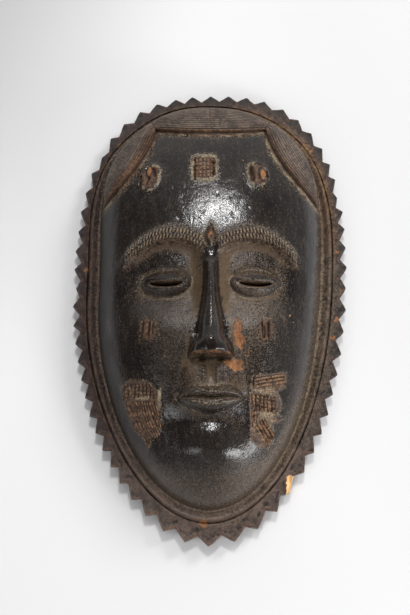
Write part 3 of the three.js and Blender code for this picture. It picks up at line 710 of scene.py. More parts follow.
def build_shell(step=0.56):
    """The whole surface of the mask as triangles, before the finest cuts."""
    skin = Skin()
    nx, ny = int(round(150 / step)), int(round(250 / step))
    gx, gy = rounded_grid(nx, ny, foot_radius, 0.9, 0.10, 0.04)
    idx = skin.add(gx, gy, front_z(gx, gy)).reshape(ny + 1, nx + 1)
    skin.grid(idx)
    loop = grid_loop(nx, ny)
    la = np.arctan2(np.ravel(gy)[loop] - POLE_Y, np.ravel(gx)[loop] - POLE_X)
    # border columns: those of the grid's edge, with the nearest moved to each tip and gap
    a = np.unwrap(la)
    cols = a.copy()
    for key in KEY_A:
        d = (a - key + math.pi) % _turn - math.pi
        i = int(np.argmin(np.abs(d)))
        cols[i] = a[i] - d[i]
    edge, g, k, cv, foot = edge_radius(cols), groove_radius(cols), bead_scale(cols), cove_scale(cols), foot_radius(cols)

    prev = loop
    cx, cy = np.cos(cols), np.sin(cols)
    rows = []
    # face wall, rows spaced along its slope
    n_wall = int(round(30 / step))
    t = np.linspace(0, 1, 400)
    rr = 0.9 + 0.1 * t
    zz = (FACE_Z - FOOT_Z) * (1 - rr ** FACE_P) ** (1 / FACE_Q)
    arc = np.concatenate([[0], np.cumsum(np.hypot(np.diff(rr) * 100, np.diff(zz)))])
    for f in np.linspace(0, 1, n_wall + 1)[1:]:
        rho = float(np.interp(f * arc[-1], arc, rr))
        aa = mix(a, cols, sstep(0, 0.15, f))
        r = foot_radius(aa) * rho
        x, y = POLE_X + r * np.cos(aa), POLE_Y + r * np.sin(aa)
        rows.append(np.stack([x, y, front_z(x, y) if rho < 1 else np.full(r.shape, FOOT_Z)]))
    at_foot = len(rows) - 1

    def ring(r, z):
        rows.append(np.stack([POLE_X + r * cx, POLE_Y + r * cy, np.broadcast_to(z, r.shape)]))

    # hollow line between face and bead
    bead_in = g - BEAD_WIDTH * k
    for f in (0.25, 0.5, 0.75):
        ring(mix(foot, bead_in, f), FOOT_Z - 0.25 * cv * math.sin(math.pi * f))
    # bead: low on the side of the face, full towards the groove
    base_in, base_out = FOOT_Z - 0.1, BORDER_TOP_Z - 1.1
    tall = (BEAD_Z - FOOT_Z + 0.3) * mix(0.35, 1.0, sstep(0.38, 1.0, k))
    n_bead = int(round(8.5 / step))
    for th in np.linspace(0, math.pi, n_bead + 1):
        f = mix((1 - math.cos(th)) / 2, th / math.pi, 0.25)
        ring(mix(bead_in, g, f), mix(base_in, base_out, f) + tall * math.sin(math.pi * f ** 1.35) ** 0.7)
    crown = len(rows) - n_bead // 2
    # one soft hollow from the wall to the crown of the bead
    block = np.stack(rows)
    place = np.arange(len(rows))
    w = sstep(at_foot - 13, at_foot - 3, place) * sstep(crown + 1, crown - 3, place)
    for _ in range(26):
        mid = 0.5 * (block[:-2] + block[2:])
        block[1:-1] += (w[1:-1, None, None] * 0.5) * (mid - block[1:-1])
    rows = list(block)
    # upper face of the border, a little dished, then the worn edge of the teeth
    outer_top = edge - mix(1.3, 0.6, tooth_phase(cols))
    ring(g + 0.40, BORDER_TOP_Z - 0.50)
    n_top = int(round(9.0 / step))
    for f in np.linspace(0.0, 1, n_top + 1):
        ring(mix(g + 0.9, outer_top, f), BORDER_TOP_Z + 0.1 - 0.5 * math.sin(math.pi * f) - 0.6 * f * f)
    ring(mix(outer_top, edge, 0.55), BORDER_TOP_Z - 1.1)
    n_side = int(round(6.5 / step))
    for f in np.linspace(0, 1, n_side + 1):
        ring(edge - 0.25 * (2 * f - 1) ** 2, mix(BORDER_TOP_Z - 1.8, BORDER_LIFT + 1.3, f))
    ring(edge - 0.9, np.full(edge.shape, BORDER_LIFT + 0.3))
    n_under = int(round(9 / step))
    for f in np.linspace(0, 1, n_under + 1)[1:]:
        ring(mix(edge - 0.9, g - 2.0, f), (BORDER_LIFT + 0.3) * (1 - f) ** 0.9)
    for i, row in enumerate(rows):
        if i == at_foot:
            first_border = skin.n
        now = skin.add(*row)
        skin.band(now, prev)
        prev = now
    last_border = skin.n
    # rim and hollow
    n_back = 700
    pick = np.linspace(0, len(cols), n_back, endpoint=False).astype(int)
    ab = cols[pick]
    rim_rows = 5
    start = groove_radius(ab) - 2.0

    def back_ring(r, z):
        return skin.add(POLE_X + r * np.cos(ab), POLE_Y + r * np.sin(ab), z)

    hr = hollow_radius(ab)
    ring_a = back_ring(mix(start, hr, 0.12), np.zeros(n_back))
    skin.zip(prev, ring_a, flip=True)
    prev = ring_a
    for f in np.linspace(0.12, 1, rim_rows + 6)[1:]:
        now = back_ring(mix(start, hr, f), np.zeros(n_back))
        skin.band(prev, now, flip=True)
        prev = now
    rr = np.linspace(1, 0.86, 300)
    zz = HOLLOW_Z * (1 - rr ** HOLLOW_P) ** (1 / HOLLOW_Q)
    arc = np.concatenate([[0], np.cumsum(np.hypot(np.diff(rr) * 80, np.diff(zz)))])
    for f in np.linspace(0, 1, 34)[1:]:
        rho = float(np.interp(f * arc[-1], arc, rr))
        r = hr * rho
        x, y = POLE_X + r * np.cos(ab), POLE_Y + r * np.sin(ab)
        now = skin.add(x, y, back_z(x, y))
        skin.band(prev, now, flip=True)
        prev = now
    bx, by = rounded_grid(110, 190, hollow_radius, 0.84, 0.1, 0.04)
    idx = skin.add(bx, by, back_z(bx, by)).reshape(191, 111)
    skin.grid(idx, flip=True)
    skin.zip(prev, idx.ravel()[grid_loop(110, 190)], flip=True)
    p, tri = np.concatenate(skin.p), np.concatenate(skin.tri)
    return p, tri, (first_border, last_border)


# bare or rubbed wood on the face: x, y, half width, half height
RUBBED = (
    (18.0, -21.0, 2.6, 9.5), (19.6, -29.5, 3.4, 4.0), (16.6, -44.4, 5.0, 4.2), (11.5, -42.5, 3.0, 2.4),
    (24.0, -36.0, 1.4, 2.6), (-0.4, BROW_Y + 3.0, 1.3, 2.6),
)
# tiny bright scratches: x, y, half width, half height, strength
FLECKS = ((53.2, -9.4, 0.32, 1.7, 0.58), (47.0, -11.5, 0.25, 1.2, 0.58), (55.3, -13.3, 0.4, 0.5, 0.58), (21.2, 98.3, 1.25, 1.1, 0.85))
# rubbed spots of the border: x, y, radius
RUBBED_BORDER = (
    (-5.3, -145.7, 3.4), (88.7, 43.2, 1.5), (91.1, 16.5, 1.5), (87.9, -4.8, 1.9), (84.9, -17.6, 1.7),
    (-87.3, 30.9, 1.9), (38.0, -138.5, 1.6), (68.1, 122.4, 1.8), (72.2, 118.0, 1.7),
)
# a fresh split on one tooth: two ends and its half width
SPLIT = ((53.9, -115.0), (53.7, -125.8), 2.3)
NAIL_HOLE = (42.0, 133.5, 1.25)
PIT = (22.3, 119.1, 1.1)
CRACK = ((-0.5, 134.6), (-0.6, 140.4))


def fine_relief(p, n, b0, b1):
    """How far each point moves along its normal: carving, tool marks, wear and damage."""
    x, y, z = p.T
    h = np.zeros(len(p))
    i = np.arange(len(p))
    f = i < b0
    fx, fy, fz = x[f], y[f], z[f]
    rho, _ = rho_of(fx, fy, foot_radius)
    keep = sstep(1.0, 0.985, rho)
    cuts = small_carving(fx, fy)[0]
    strands, hair = hair_lines(fx, fy)[:2]
    smooth_face = 1 - 0.5 * hair
    uneven = 0.09 * fbm(fx / 30, fy / 30, fz / 30, 1, 2) + 0.016 * fbm(fx / 4.2, fy / 4.2, fz / 4.2, 4, 2)
    # shallow knife facets
    facet = 0.03 * (scallops(fx + 3 * fz / 10, fy, 7.5, 10.5, 21) - 0.5)
    hf = cuts * (1 - hair) + strands + (uneven + facet * 0.7) * smooth_face
    # pores and small knocks
    pock = vnoise(fx / 1.5, fy / 1.5, fz / 1.5, 33)
    hf -= 0.17 * np.clip(pock - 0.60, 0, 1) / 0.40 * (1 - 0.4 * hair)
    for cx, cy, w, l in RUBBED:
        hf -= 0.35 * sstep(1.5, 0.4, ((fx - cx) / w) ** 2 + ((fy - cy) / l) ** 2 + 0.4 * pock)
    for cx, cy, r, deep in (NAIL_HOLE + (3.2,), PIT + (1.4,)):
        hf -= deep * sstep(1.25, 0.7, np.hypot(fx - cx, fy - cy) / r)
    hf -= 0.7 * sstep(0.7, 0.2, to_segment(fx, fy, *CRACK))
    h[f] = hf * keep
    e = (i >= b0) & (i < b1)
    ex, ey, ez = x[e], y[e], z[e]
    he = 0.26 * fbm(ex / 6, ey / 6, ez / 6, 41) + 0.10 * fbm(ex / 1.9, ey / 1.9, ez / 1.9, 44, 2)
    bite = vnoise(ex / 2.4, ey / 2.4, ez / 2.4, 47)
    a = np.arctan2(ey - POLE_Y, ex - POLE_X)
    out = sstep(6.0, 1.0, edge_radius(a) - np.hypot(ex - POLE_X, ey - POLE_Y))
    he -= 0.9 * np.clip(bite - 0.55, 0, 1) * out * sstep(2.5, 5.0, ez)
    torn = np.clip(SPLIT[2] + 0.6 - to_segment(ex, ey, *SPLIT[:2]), 0, 2.4)
    he -= (0.75 * torn + 0.25 * torn * vnoise(ex / 0.9, ey / 5.0, ez / 2.0, 49)) * sstep(3.5, 7.5, ez)
    he *= sstep(0.2, 2.5, ez)
    h[e] = he
    b = i >= b1
    bx, by, bz = x[b], y[b], z[b]
    hb = -0.95 * scallops(bx * 0.98 + 0.2 * by, by, 10.5, 17.0, 61) + 0.5
    hb += 0.35 * fbm(bx / 16, by / 16, bz / 16, 63) + 0.1 * fbm(bx / 2.2, by / 2.2, bz / 2.2, 66, 2)
    h[b] = hb * sstep(0.4, 5.0, bz)
    return h


TIP_X, TIP_Y = POLE_X + TIP_R * np.cos(TIP_A), POLE_Y + TIP_R * np.sin(TIP_A)
SPAN = (0.5 * (TIP_X.min() + TIP_X.max()), 0.5 * (TIP_Y.min() + TIP_Y.max()), 0.0)


def relax(v, pairs, times):
    """Averages a value or position with its neighbours'."""
    a, b = pairs
    many = np.bincount(a, minlength=len(v)) + np.bincount(b, minlength=len(v)) + 0.0
    v = v.copy()
    for _ in range(times):
        if v.ndim == 1:
            s = np.bincount(a, weights=v[b], minlength=len(v)) + np.bincount(b, weights=v[a], minlength=len(v))
            v = 0.5 * v + 0.5 * s / many
        else:
            for c in range(v.shape[1]):
                s = (np.bincount(a, weights=v[b, c], minlength=len(v))
                     + np.bincount(b, weights=v[a, c], minlength=len(v)))
                v[:, c] = 0.5 * v[:, c] + 0.5 * s / many
    return v


def finish_masks(p, tri):
    """Where the hair, dust, worn edges, bare wood, back and border are, from 0 to 1."""
    x, y, z = p.T
    n = vertex_normals(p, tri)
    e = np.sort(np.concatenate([tri[:, [0, 1]], tri[:, [1, 2]], tri[:, [2, 0]]]), 1)
    key = np.unique(e[:, 0].astype(np.int64) * len(p) + e[:, 1])
    pairs = (key // len(p), key % len(p))
    near = np.einsum("ij,ij->i", relax(p, pairs, 4) - p, n)
    wide = np.einsum("ij,ij->i", relax(p, pairs, 40) - p, n)
    near = near - 0.1 * wide
    hollow_small = np.clip(relax(near, pairs, 1) / 0.10, -1, 1)
    hollow_wide = np.clip(relax(wide, pairs, 3) / 0.75, -1, 1)
    dx, dy = x - POLE_X, y - POLE_Y
    r, a = np.hypot(dx, dy), np.arctan2(dy, dx)
    foot, groove, edge = foot_radius(a), groove_radius(a), edge_radius(a)
    zf, zb = front_z(x, y), back_z(x, y)
    inner = (r < hollow_radius(a) + 1.5) & (z < 0.5 * (zf + zb) - 1.0)
    rim = (z < 1.2) & (r < groove + 1)
    under = (r > groove - 3) & (z < BORDER_LIFT + 1.2) & (n[:, 2] < -0.2)
    back = relax((inner | rim | under).astype(float), pairs, 1)
    wall_side = (r < foot + 0.2)
    front = (1 - back)
    border = sstep(-0.2, 0.8, r - foot) * front
    _, dust, brown, wear, ridge = small_carving(x, y)
    _, hair, hdust, hbrown, hwear, hridge = hair_lines(x, y)
    ok = front * (1 - border) * wall_side
    hair = hair * ok
    dust = np.maximum(dust * (1 - hair), hdust) * ok
    brown = np.maximum(brown * (1 - hair), hbrown) * ok
    wear = np.maximum(wear * (1 - hair), hwear) * ok
    ridge = np.maximum(ridge * (1 - hair), hridge) * ok
    # thin brown film over the middle of the face, where the black has worn off
    film = gauss(x / 36.0, 1.0) * gauss((y + 10) / 46.0, 1.0) * sstep(75, 45, y)
    rho = rho_of(x, y, foot_radius)[0]
    wall = sstep(0.90, 0.985, rho) * (0.18 + 0.30 * sstep(-20, 50, x) + 0.22 * sstep(-50, -110, y))
    wall = wall + 0.46 * sstep(-98, -118, y) * sstep(0.62, 0.84, rho) + 0.34 * sstep(-30, -90, y) * sstep(0.80, 0.94, rho) * (0.55 + 0.45 * sstep(-20, 40, x))
    film = film + 0.40 * gauss((x - 22) / 14, 1.0) * gauss((y - 6) / 22, 1.0)
    t = np.clip((y - NOSE_Y) / NOSE_LENGTH, 0, 1)
    nose = sstep(1.15, 0.8, np.abs(x) / mix(NOSE_HALF_W, 5.5, soft(0.0, 0.7, t))) * sstep(-1, 2, y - NOSE_Y) * sstep(BROW_Y + 4, BROW_Y - 6, y)
    film = np.clip(0.80 * film + 0.55 * np.clip(hollow_wide - 0.10, 0, 1) + wall, 0, 1) * ok * (1 - hair) * (1 - 0.75 * nose)
    raw = np.zeros(len(p))
    for cx, cy, w, l in RUBBED:
        q = ((x - cx) / w) ** 2 + ((y - cy) / l) ** 2
        wear = np.maximum(wear, 1.0 * sstep(1.9, 0.5, q + 0.45 * vnoise(x / 2, y / 2, 0.1, 71)) * ok)
    for cx, cy, rad in RUBBED_BORDER:
        d = np.hypot(x - cx, y - cy) / rad + 0.35 * vnoise(x / 1.5, y / 1.5, z / 1.5, 73)
        wear = np.maximum(wear, 0.95 * sstep(1.25, 0.7, d) * border)
    d = to_segment(x, y, *SPLIT[:2])
    raw = np.maximum(raw, sstep(SPLIT[2] + 0.5, SPLIT[2] - 0.3, d + 0.4 * vnoise(x / 1.2, y / 1.2, z / 1.2, 75)) * (z > 4) * border)
    for cx, cy, w, l, bright in FLECKS:
        raw = np.maximum(raw, bright * sstep(1.5, 0.6, np.hypot((x - cx) / w, (y - cy) / l)) * ok)
    # valleys between the teeth are redder, tips darker
    phase = tooth_phase(a)
    out = sstep(7.0, 1.5, edge - r)
    rust = border * out * (1 - phase) ** 1.1
    tip = border * out * phase ** 1.5
    # dust that settles at the foot of the face and in deep folds
    settle = border * (0.75 * sstep(3.0, 0.4, np.abs(r - foot - 0.9)) + 0.62 * sstep(groove + 0.3, groove - 1.2, r))
    dust = np.maximum(dust, 0.45 * np.clip(settle, 0, 1))
    # rubbed lip borders and nose keep a thin pale film
    lx = np.clip(x / MOUTH_HALF_W, -1, 1)
    lips = (np.abs(x) < MOUTH_HALF_W) * sstep(1.5, 0.6, np.abs(y - MOUTH_Y) / (9.5 * np.clip(1 - lx * lx, 0.02, 1) ** 0.7))
    dust = np.maximum(dust, 0.80 * lips * ok * sstep(-0.9, 0.3, near / 0.1))
    ex = (np.abs(x) - EYE_X) / EYE_HALF_W
    lid = 1 - ex * ex - ((y - EYE_Y + 1.2 * (1 - ex * ex)) / EYE_HALF_H) ** 2
    dust = np.maximum(dust, (0.55 * gauss(lid + 0.10, 0.11) + 0.25 * gauss(lid + 0.5, 0.3)) * (np.abs(ex) < 1.5) * ok)
    # worn edge under the nose
    wear = np.maximum(wear, 0.72 * gauss(y - NOSE_Y - 0.8 - 0.03 * np.abs(x), 0.8) * sstep(15.5, 12.5, np.abs(x)) * ok * (z > 40))
    deg = np.degrees(a)
    torn = vnoise(x / 3.1, y / 3.1, z / 3.1, 14)
    spread = sstep(18, 34, deg) * sstep(88, 70, deg) + 0.50 * sstep(72, 90, deg) * sstep(172, 150, deg)
    packed = spread * front * sstep(3.6, 0.6, np.abs(r - groove)) * (0.72 + 0.6 * torn)
    # brown dust also lies on the upper right of the border, inside the teeth
    band = sstep(2, 26, deg) * sstep(92, 74, deg) * border * sstep(8.0, 3.0, r - groove - 0.8 * torn)
    brown = np.maximum(brown, 0.78 * band)
    dust = np.maximum(dust, (0.30 + 0.22 * torn) * band)
    # the outer face wall on the left, down to the jaw: matt, and painted darker as shade
    matt_wall_painted_shade = sstep(0.80, 0.97, rho + 0.03 * vnoise(x / 9, y / 14, z / 9, 79)) * (1 - border) * (1 - hair) * front * sstep(30, -20, x) * sstep(-120, -80, y)
    # painted shade: a dark crack line beside the fresh split, with no cut under it
    (sx, sy), (tx, ty), half = SPLIT
    gap = to_segment(x, y, (sx - 4.1, sy - 2.0), (tx - 3.6, ty + 0.5)) + 0.5 * vnoise(x / 1.4, y / 1.4, z / 1.4, 77)
    gap = sstep(1.7, 0.5, gap) * border * (z > 4)
    one = np.ones(len(p))
    return {
        "wood_f": np.stack([np.clip(packed, 0, 1), matt_wall_painted_shade, gap, one], 1),
        "wood_a": np.stack([hair, np.clip(dust, 0, 1), np.clip(wear, 0, 1), one], 1),
        "wood_b": np.stack([raw, back, border, one], 1),
        "wood_e": np.stack([np.clip(0.5 + 0.5 * dx / 92.0, 0, 1), border * sstep(2.1, 0.5, edge - r), np.clip(settle, 0, 1), one], 1),
        "wood_c": np.stack([0.5 + 0.5 * hollow_small, film, np.clip(0.5 + 0.5 * (rust - tip), 0, 1), one], 1),
        "wood_d": np.stack([np.clip(brown, 0, 1), 0.5 + 0.5 * hollow_wide, np.clip(ridge, 0, 1), one], 1),
    }
# ======================================================================= end of form


def mesh_from(p, tri, name):
    me = bpy.data.meshes.new(name)
    me.vertices.add(len(p))
    me.vertices.foreach_set("co", np.ascontiguousarray(p, np.float32).ravel())
    me.loops.add(3 * len(tri))
    me.loops.foreach_set("vertex_index", np.ascontiguousarray(tri, np.int32).ravel())
    me.polygons.add(len(tri))
    me.polygons.foreach_set("loop_start", np.arange(0, 3 * len(tri), 3, dtype=np.int32))
    me.update(calc_edges=True)
    me.validate()
    return me


def mesh_arrays(me):
    me.calc_loop_triangles()
    p = np.empty(3 * len(me.vertices), np.float32)
    me.vertices.foreach_get("co", p)
    t = np.empty(3 * len(me.loop_triangles), np.int32)
    me.loop_triangles.foreach_get("vertices", t)
    return p.reshape(-1, 3).astype(float), t.reshape(-1, 3)


def apply_modifiers(obj):
    deps = bpy.context.evaluated_depsgraph_get()
    me = bpy.data.meshes.new_from_object(obj.evaluated_get(deps))
    obj.modifiers.clear()
    old = obj.data
    obj.data = me
    bpy.data.meshes.remove(old)


def slit_cutter(side):
    """A narrow sagging lens that goes right through the wood."""
    n = 24
    t = np.linspace(-1, 1, n + 1)
    sag = -1.6 * (1 - t * t)
    gap = (SLIT_H / 2) * np.clip(1 - t * t, 0, None) ** 0.45 + 0.12
    xs = np.concatenate([t, t[::-1]])
    ys = np.concatenate([sag - gap, (sag + gap)[::-1]])
    x = side * EYE_X + xs * SLIT_HALF_W - SPAN[0]
    y = EYE_Y - 1.0 + ys - SPAN[1]
    m = len(x)
    p = np.concatenate([np.stack([x, y, np.full(m, 20.0)], 1), np.stack([x, y, np.full(m, 90.0)], 1)])
    tri = []
    for i in range(m):
        j = (i + 1) % m
        tri += [(i, j, m + j), (i, m + j, m + i)]
    for i in range(n):
        a, b, c, d = i, i + 1, m - 2 - i, m - 1 - i
        tri += [(a, c, b), (a, d, c)]
        tri += [(m + a, m + b, m + c), (m + a, m + c, m + d)]
    return bpy.data.objects.new("slit", mesh_from(p / 1000.0, np.array(tri), "slit"))


shell, shell_tri, (edge_from, edge_to) = build_shell()
shell_n = vertex_normals(shell, shell_tri)
shell = shell + shell_n * fine_relief(shell, shell_n, edge_from, edge_to)[:, None]
shell[:, 2] = np.maximum(shell[:, 2], 0.0)
mask = bpy.data.objects.new("mask_carving", mesh_from((shell - np.array(SPAN)) / 1000.0, shell_tri, "mask_carving"))
bpy.context.scene.collection.objects.link(mask)

thin = mask.modifiers.new("thin", "DECIMATE")
thin.ratio = 192000 / len(shell_tri)
apply_modifiers(mask)
for side in (-1, 1):
    cutter = slit_cutter(side)
    bpy.context.scene.collection.objects.link(cutter)
    cut = mask.modifiers.new("slit", "BOOLEAN")
    cut.operation = "DIFFERENCE"
    cut.solver = "MANIFOLD"
    cut.object = cutter
    bpy.context.view_layer.update()
    apply_modifiers(mask)
    tool = cutter.data
    bpy.data.objects.remove(cutter)
    bpy.data.meshes.remove(tool)

me = mask.data
me.name = "mask_carving"
points, triangles = mesh_arrays(me)
for name, values in finish_masks(points * 1000.0 + np.array(SPAN), triangles).items():
    layer = me.attributes.new(name, "FLOAT_COLOR", "POINT")
    layer.data.foreach_set("color", np.ascontiguousarray(values, np.float32).ravel())
me.polygons.foreach_set("use_smooth", np.ones(len(me.polygons), bool))
me.set_sharp_from_angle(angle=math.radians(58))
print("mask triangles", len(triangles))


# ======================================================================= finish
def srgb(*v):
    return tuple((c / 255 / 12.92 if c <= 10.3 else ((c / 255 + 0.055) / 1.055) ** 2.4) for c in v) + (1.0,)


class Nodes:
    """Short names for the node types the materials use."""

    def __init__(self, name):
        self.mat = bpy.data.materials.new(name)
        self.mat.use_nodes = True
        self.tree = self.mat.node_tree
        self.tree.nodes.clear()

    def new(self, kind, **inputs):
        node = self.tree.nodes.new(kind)
        for key, value in inputs.items():
            self.set(node.inputs[key.replace("_", " ")], value)
        return node

    def set(self, socket, value):
        if isinstance(value, bpy.types.NodeSocket):
            self.tree.links.new(value, socket)
        else:
            socket.default_value = value

    def math(self, op, a, b=0.0, clamp=False):
        node = self.tree.nodes.new("ShaderNodeMath")
        node.operation = op
        node.use_clamp = clamp
        self.set(node.inputs[0], a)
        self.set(node.inputs[1], b)
        return node.outputs[0]

    def ramp(self, value, low, high):
        """0 at low, 1 at high, smoothly."""
        node = self.tree.nodes.new("ShaderNodeMapRange")
        node.interpolation_type = "SMOOTHSTEP"
        self.set(node.inputs["Value"], value)
        node.inputs["From Min"].default_value = low
        node.inputs["From Max"].default_value = high
        return node.outputs["Result"]

    def mix(self, factor, a, b):
        node = self.tree.nodes.new("ShaderNodeMix")
        node.data_type = "RGBA"
        self.set(node.inputs[0], factor)
        self.set(node.inputs[6], a)
        self.set(node.inputs[7], b)
        return node.outputs[2]

    def mixf(self, factor, a, b):
        node = self.tree.nodes.new("ShaderNodeMix")
        node.data_type = "FLOAT"
        self.set(node.inputs[0], factor)
        self.set(node.inputs[2], a)
        self.set(node.inputs[3], b)
        return node.outputs[0]

    def noise(self, vector, scale, detail=3.0, rough=0.55, distortion=0.0):
        node = self.tree.nodes.new("ShaderNodeTexNoise")
        self.set(node.inputs["Vector"], vector)
        node.inputs["Scale"].default_value = scale
        node.inputs["Detail"].default_value = detail
        node.inputs["Roughness"].default_value = rough
        node.inputs["Distortion"].default_value = distortion
        return node.outputs["Fac"]

    def attribute(self, name):
        node = self.tree.nodes.new("ShaderNodeAttribute")
        node.attribute_name = name
        split = self.tree.nodes.new("ShaderNodeSeparateColor")
        self.tree.links.new(node.outputs["Color"], split.inputs[0])
        return split.outputs[0], split.outputs[1], split.outputs[2]


def wood_material():
    n = Nodes("carved_wood")
    where = n.new("ShaderNodeTexCoord").outputs["Object"]
    hair, dust, wear = n.attribute("wood_a")
    raw, back, border = n.attribute("wood_b")
    fine, film, rust = n.attribute("wood_c")
    brown, wide, ridge = n.attribute("wood_d")

    def stretched(sx, sy, sz):
        node = n.new("ShaderNodeMapping")
        n.set(node.inputs["Vector"], where)
        node.inputs["Scale"].default_value = (sx, sy, sz)
        return node.outputs["Vector"]

    along = stretched(1.0, 0.12, 1.0)
    streaky = stretched(1.0, 0.28, 1.0)
    broad = n.noise(where, 24.0, 4.0, 0.6)
    cloud = n.noise(where, 85.0, 4.0, 0.65)
    speck = n.noise(where, 520.0, 3.0, 0.65)
    grit = n.noise(where, 1150.0, 2.0, 0.6)
    grain = n.noise(along, 560.0, 4.0, 0.65, 0.4)
    streak = n.noise(streaky, 230.0, 4.0, 0.6)
    centred = lambda v, k: n.math("MULTIPLY", n.math("SUBTRACT", v, 0.5), k)
    patchy = n.math("ADD", centred(speck, 1.9), centred(cloud, 1.3))
    dots = n.math("ADD", centred(grit, 2.2), centred(speck, 1.2))
    brushed = n.math("ADD", n.math("ADD", centred(streak, 0.6), centred(broad, 0.8)), n.math("ADD", centred(grit, 2.0), centred(speck, 0.9)))
    righty, outline, settled = n.attribute("wood_e")
    packed, matt_wall_painted_shade, gap = n.attribute("wood_f")
    fibre = n.noise(stretched(1.0, 0.40, 1.0), 950.0, 3.0, 0.6)
    place = n.new("ShaderNodeSeparateXYZ")
    n.set(place.inputs[0], where)
    upper = n.ramp(place.outputs["Y"], 0.045, 0.125)
    lower = n.ramp(place.outputs["Y"], -0.06, -0.14)

    # patina: near black, a brown film where it has worn thin
    colour = n.mix(n.ramp(broad, 0.32, 0.68), srgb(17, 14, 13), srgb(33, 27, 24))
    colour = n.mix(n.math("MULTIPLY", n.ramp(streak, 0.50, 0.78), 0.30), colour, srgb(58, 47, 38))
    thin = n.ramp(n.math("ADD", film, n.math("MULTIPLY", brushed, 0.55)), 0.16, 1.05)
    thin = n.math("MULTIPLY", thin, n.ramp(film, 0.03, 0.45))
    film_pale = n.mix(n.ramp(righty, 0.50, 0.66), srgb(98, 83, 70), srgb(128, 111, 95))
    film_colour = n.mix(n.ramp(n.math("ADD", n.math("MULTIPLY", grit, 0.6), n.math("MULTIPLY", fibre, 0.4)), 0.38, 0.62), srgb(46, 38, 33), film_pale)
    film_colour = n.mix(n.math("MULTIPLY", n.ramp(n.math("ADD", wide, centred(speck, 0.5)), 0.56, 0.90), 0.6), film_colour, n.mix(speck, srgb(78, 60, 40), srgb(122, 98, 66)))
    colour = n.mix(n.math("MULTIPLY", thin, 0.80), colour, film_colour)
    # painted shade: the left face wall darkened
    colour = n.mix(n.math("MULTIPLY", matt_wall_painted_shade, 0.6), colour, srgb(22, 17, 15))
    # pale specks over the patina: dust and scratches, and painted glints
    pale_specks_and_glints = n.math("MULTIPLY", n.ramp(n.math("ADD", grit, centred(streak, 0.5)), 0.55, 0.72), n.mixf(matt_wall_painted_shade, 0.36, 0.26))
    colour = n.mix(pale_specks_and_glints, colour, srgb(94, 81, 69))
    # pale vertical fibre specks: dust and painted glints
    colour = n.mix(n.math("MULTIPLY", n.ramp(fibre, 0.54, 0.70), 0.34), colour, srgb(88, 78, 70))
    # border: browner, redder between the teeth and on the left, dustier on the right
    edge_dark = n.mix(righty, srgb(30, 20, 18), srgb(36, 30, 26))
    edge_dark = n.mix(n.math("MULTIPLY", lower, 0.85), edge_dark, srgb(73, 61, 54))
    edge_pale = n.mix(righty, srgb(66, 45, 39), srgb(98, 83, 71))
    edge_pale = n.mix(n.math("MULTIPLY", lower, 0.85), edge_pale, srgb(108, 91, 81))
    # painted shade: the top of the border darker
    edge_pale = n.mix(n.math("MULTIPLY", upper, 0.80), edge_pale, srgb(52, 40, 34))
    edge_colour = n.mix(n.ramp(n.math("ADD", n.math("ADD", cloud, centred(speck, 0.8)), centred(grit, 0.9)), 0.26, 0.76), edge_dark, edge_pale)
    # painted shade: a dark line just inside the teeth edges, on the right side, where the bevel is in shade
    edge_colour = n.mix(n.math("MULTIPLY", n.math("MULTIPLY", outline, n.ramp(righty, 0.3, 0.7)), 0.80), edge_colour, srgb(26, 21, 19))
    edge_colour = n.mix(n.math("MULTIPLY", n.ramp(n.math("ADD", rust, centred(speck, 1.1)), 0.66, 1.1), 0.6), edge_colour, srgb(92, 54, 36))
    edge_colour = n.mix(n.math("MULTIPLY", n.math("MULTIPLY", n.ramp(rust, 0.42, 0.08), 0.75), n.mixf(lower, 1.0, 0.25)), edge_colour, srgb(27, 22, 20))
    rubbed_rim = n.math("MULTIPLY", n.math("MULTIPLY", outline, lower), n.ramp(speck, 0.34, 0.62))
    edge_colour = n.mix(n.math("MULTIPLY", rubbed_rim, 0.55), edge_colour, srgb(134, 98, 74))
    # painted shade of the crack beside the split
    edge_colour = n.mix(n.math("MULTIPLY", gap, 0.9), edge_colour, srgb(22, 16, 18))
    ochre = n.math("MULTIPLY", n.ramp(n.math("ADD", settled, n.math("MULTIPLY", dots, 0.55)), 0.45, 1.15), n.ramp(righty, 0.25, 0.9))
    edge_colour = n.mix(n.math("MULTIPLY", ochre, 0.62), edge_colour, n.mix(n.ramp(speck, 0.3, 0.7), srgb(80, 64, 48), srgb(136, 114, 88)))
    colour = n.mix(border, colour, edge_colour)
    # hair: matt grey-brown, with painted shade darkening the incised lines by their cavity
    hair_colour = n.mix(n.ramp(n.math("ADD", n.math("ADD", cloud, centred(speck, 0.7)), centred(grit, 0.7)), 0.30, 0.70), srgb(62, 52, 46), srgb(114, 100, 89))
    hair_colour = n.mix(n.math("MULTIPLY", n.ramp(fine, 0.51, 0.72), 0.80), hair_colour, srgb(30, 23, 20))
    colour = n.mix(hair, colour, hair_colour)
    # brown of carved places
    carved = n.ramp(n.math("ADD", brown, n.math("MULTIPLY", patchy, 0.45)), 0.25, 0.95)
    carved = n.math("MULTIPLY", carved, n.ramp(brown, 0.02, 0.3))
    colour = n.mix(n.math("MULTIPLY", carved, 0.88), colour, n.mix(n.ramp(speck, 0.35, 0.65), srgb(58, 38, 28), srgb(92, 66, 48)))
    # dust in broken patches
    dusty = n.ramp(n.math("ADD", dust, n.math("MULTIPLY", dots, 0.55)), 0.28, 1.05)
    dusty = n.math("MULTIPLY", dusty, n.ramp(dust, 0.03, 0.35))
    colour = n.mix(n.math("MULTIPLY", dusty, 0.80), colour, n.mix(n.ramp(grit, 0.3, 0.7), srgb(92, 77, 60), srgb(182, 164, 138)))
